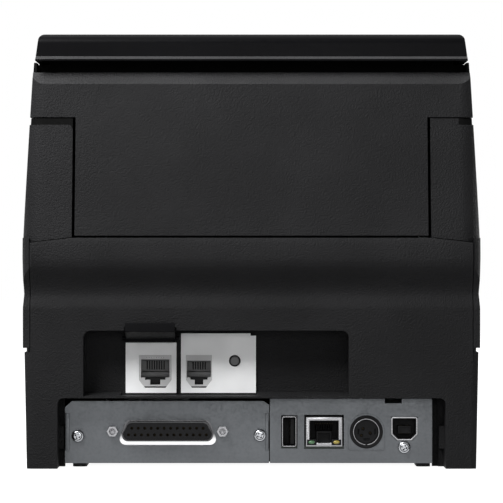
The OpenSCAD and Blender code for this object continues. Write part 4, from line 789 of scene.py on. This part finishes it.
# ---- lid of the ribbon cassette ----
# The lid is snapped on. Three low ribs run across it, and a ring round each spool has a raised
# disc in its middle.
lid_ribs = merged([made_box("lid_rib", (-58, y - 0.6, 136.2), (44, y + 0.6, 137.3))
                   for y in (-97, -57, -52)], "cassette_ribs")
finish(lid_ribs, inner, edge=0.25)
hub_radius, hub_height, hub_y, hub_z = 15.0, 1.2, -77.5, 136.9
for name, x in (("cassette_hub_left", -41.0), ("cassette_hub_right", 12.0)):
    hub = begin(name, "cylinder", vertices=64, radius=hub_radius / 1000, depth=hub_height / 1000)
    bpy.ops.transform.translate(value=(x / 1000, hub_y / 1000, hub_z / 1000))
    pick(lambda c, n: n.z > 0.9)
    for ring_width, rise in ((1.6, -0.8), (9, 1.2)):
        bpy.ops.mesh.inset(thickness=ring_width / 1000)
        bpy.ops.mesh.extrude_region_move(TRANSFORM_OT_translate={"value": (0, 0, rise / 1000)})
    finish(hub, inner, edge=0.2)

# ---- floor ----
# A sheet of pale studio paper that the printer stands on. It shows white to the camera, to
# mirrors and to glass, and it takes the printer's shadow.
floor_glow = 0.97


def direct_rays(nodes, links):
    """One for the rays of the camera, of mirrors and of glass, and zero for all others."""
    path = nodes.new("ShaderNodeLightPath")
    rays = path.outputs["Is Camera Ray"]
    for kind in ("Is Glossy Ray", "Is Transmission Ray"):
        either = nodes.new("ShaderNodeMath")
        either.operation = "MAXIMUM"
        links.new(rays, either.inputs[0])
        links.new(path.outputs[kind], either.inputs[1])
        rays = either.outputs[0]
    return rays


bpy.ops.mesh.primitive_plane_add(size=8, location=(0, 0, 0))
floor = bpy.context.object
floor.name = "floor"
paper, paper_shader = new_material("floor_paper", (0.26, 0.26, 0.26), 0.9, specular=0.1)
floor.data.materials.append(paper)
nodes, links = paper.node_tree.nodes, paper.node_tree.links
level = nodes.new("ShaderNodeMath")
level.operation = "MULTIPLY"
level.inputs[1].default_value = floor_glow
links.new(direct_rays(nodes, links), level.inputs[0])
glow = nodes.new("ShaderNodeEmission")
links.new(level.outputs[0], glow.inputs["Strength"])
total = nodes.new("ShaderNodeAddShader")
links.new(paper_shader.outputs[0], total.inputs[0])
links.new(glow.outputs[0], total.inputs[1])
links.new(total.outputs[0], nodes["Material Output"].inputs["Surface"])

# ---- studio light ----
# A white room that lights weakly, and four soft boxes: one overhead, a small key at the rear
# left, a low fill for the connectors and a large one for the front.
room_light, room_shown = 0.11, 1.0
world = bpy.data.worlds.new("studio")
bpy.context.scene.world = world
world.use_nodes = True
nodes, links = world.node_tree.nodes, world.node_tree.links
strength = nodes.new("ShaderNodeMapRange")
strength.inputs["To Min"].default_value = room_light
strength.inputs["To Max"].default_value = room_shown
links.new(direct_rays(nodes, links), strength.inputs["Value"])
links.new(strength.outputs["Result"], nodes["Background"].inputs["Strength"])
nodes["Background"].inputs["Color"].default_value = (1, 1, 1, 1)


def soft_light(name, place, aim, width, height, power):
    data = bpy.data.lights.new(name, "AREA")
    data.shape = "RECTANGLE"
    data.size, data.size_y, data.energy = width, height, power
    light = bpy.data.objects.new(name, data)
    light.location = place
    direction = [a - p for a, p in zip(aim, place)]
    light.rotation_euler = mathutils.Vector(direction).to_track_quat("-Z", "Y").to_euler()
    light.visible_camera = False
    bpy.context.scene.collection.objects.link(light)


soft_light("overhead", (0.1, 0.0, 1.3), (0, 0.0, 0.1), 1.2, 0.9, 7)
soft_light("left_key", (0.27, 0.47, 0.53), (0, 0.13, 0.12), 0.24, 0.24, 6.4)
soft_light("rear_fill", (-0.03, 1.0, 0.2), (0, 0.13, 0.04), 0.3, 0.2, 1.1)
soft_light("front_fill", (-0.9, -1.2, 0.8), (0, -0.1, 0.1), 1.0, 0.8, 26)
bpy.context.scene.view_settings.view_transform = "Standard"
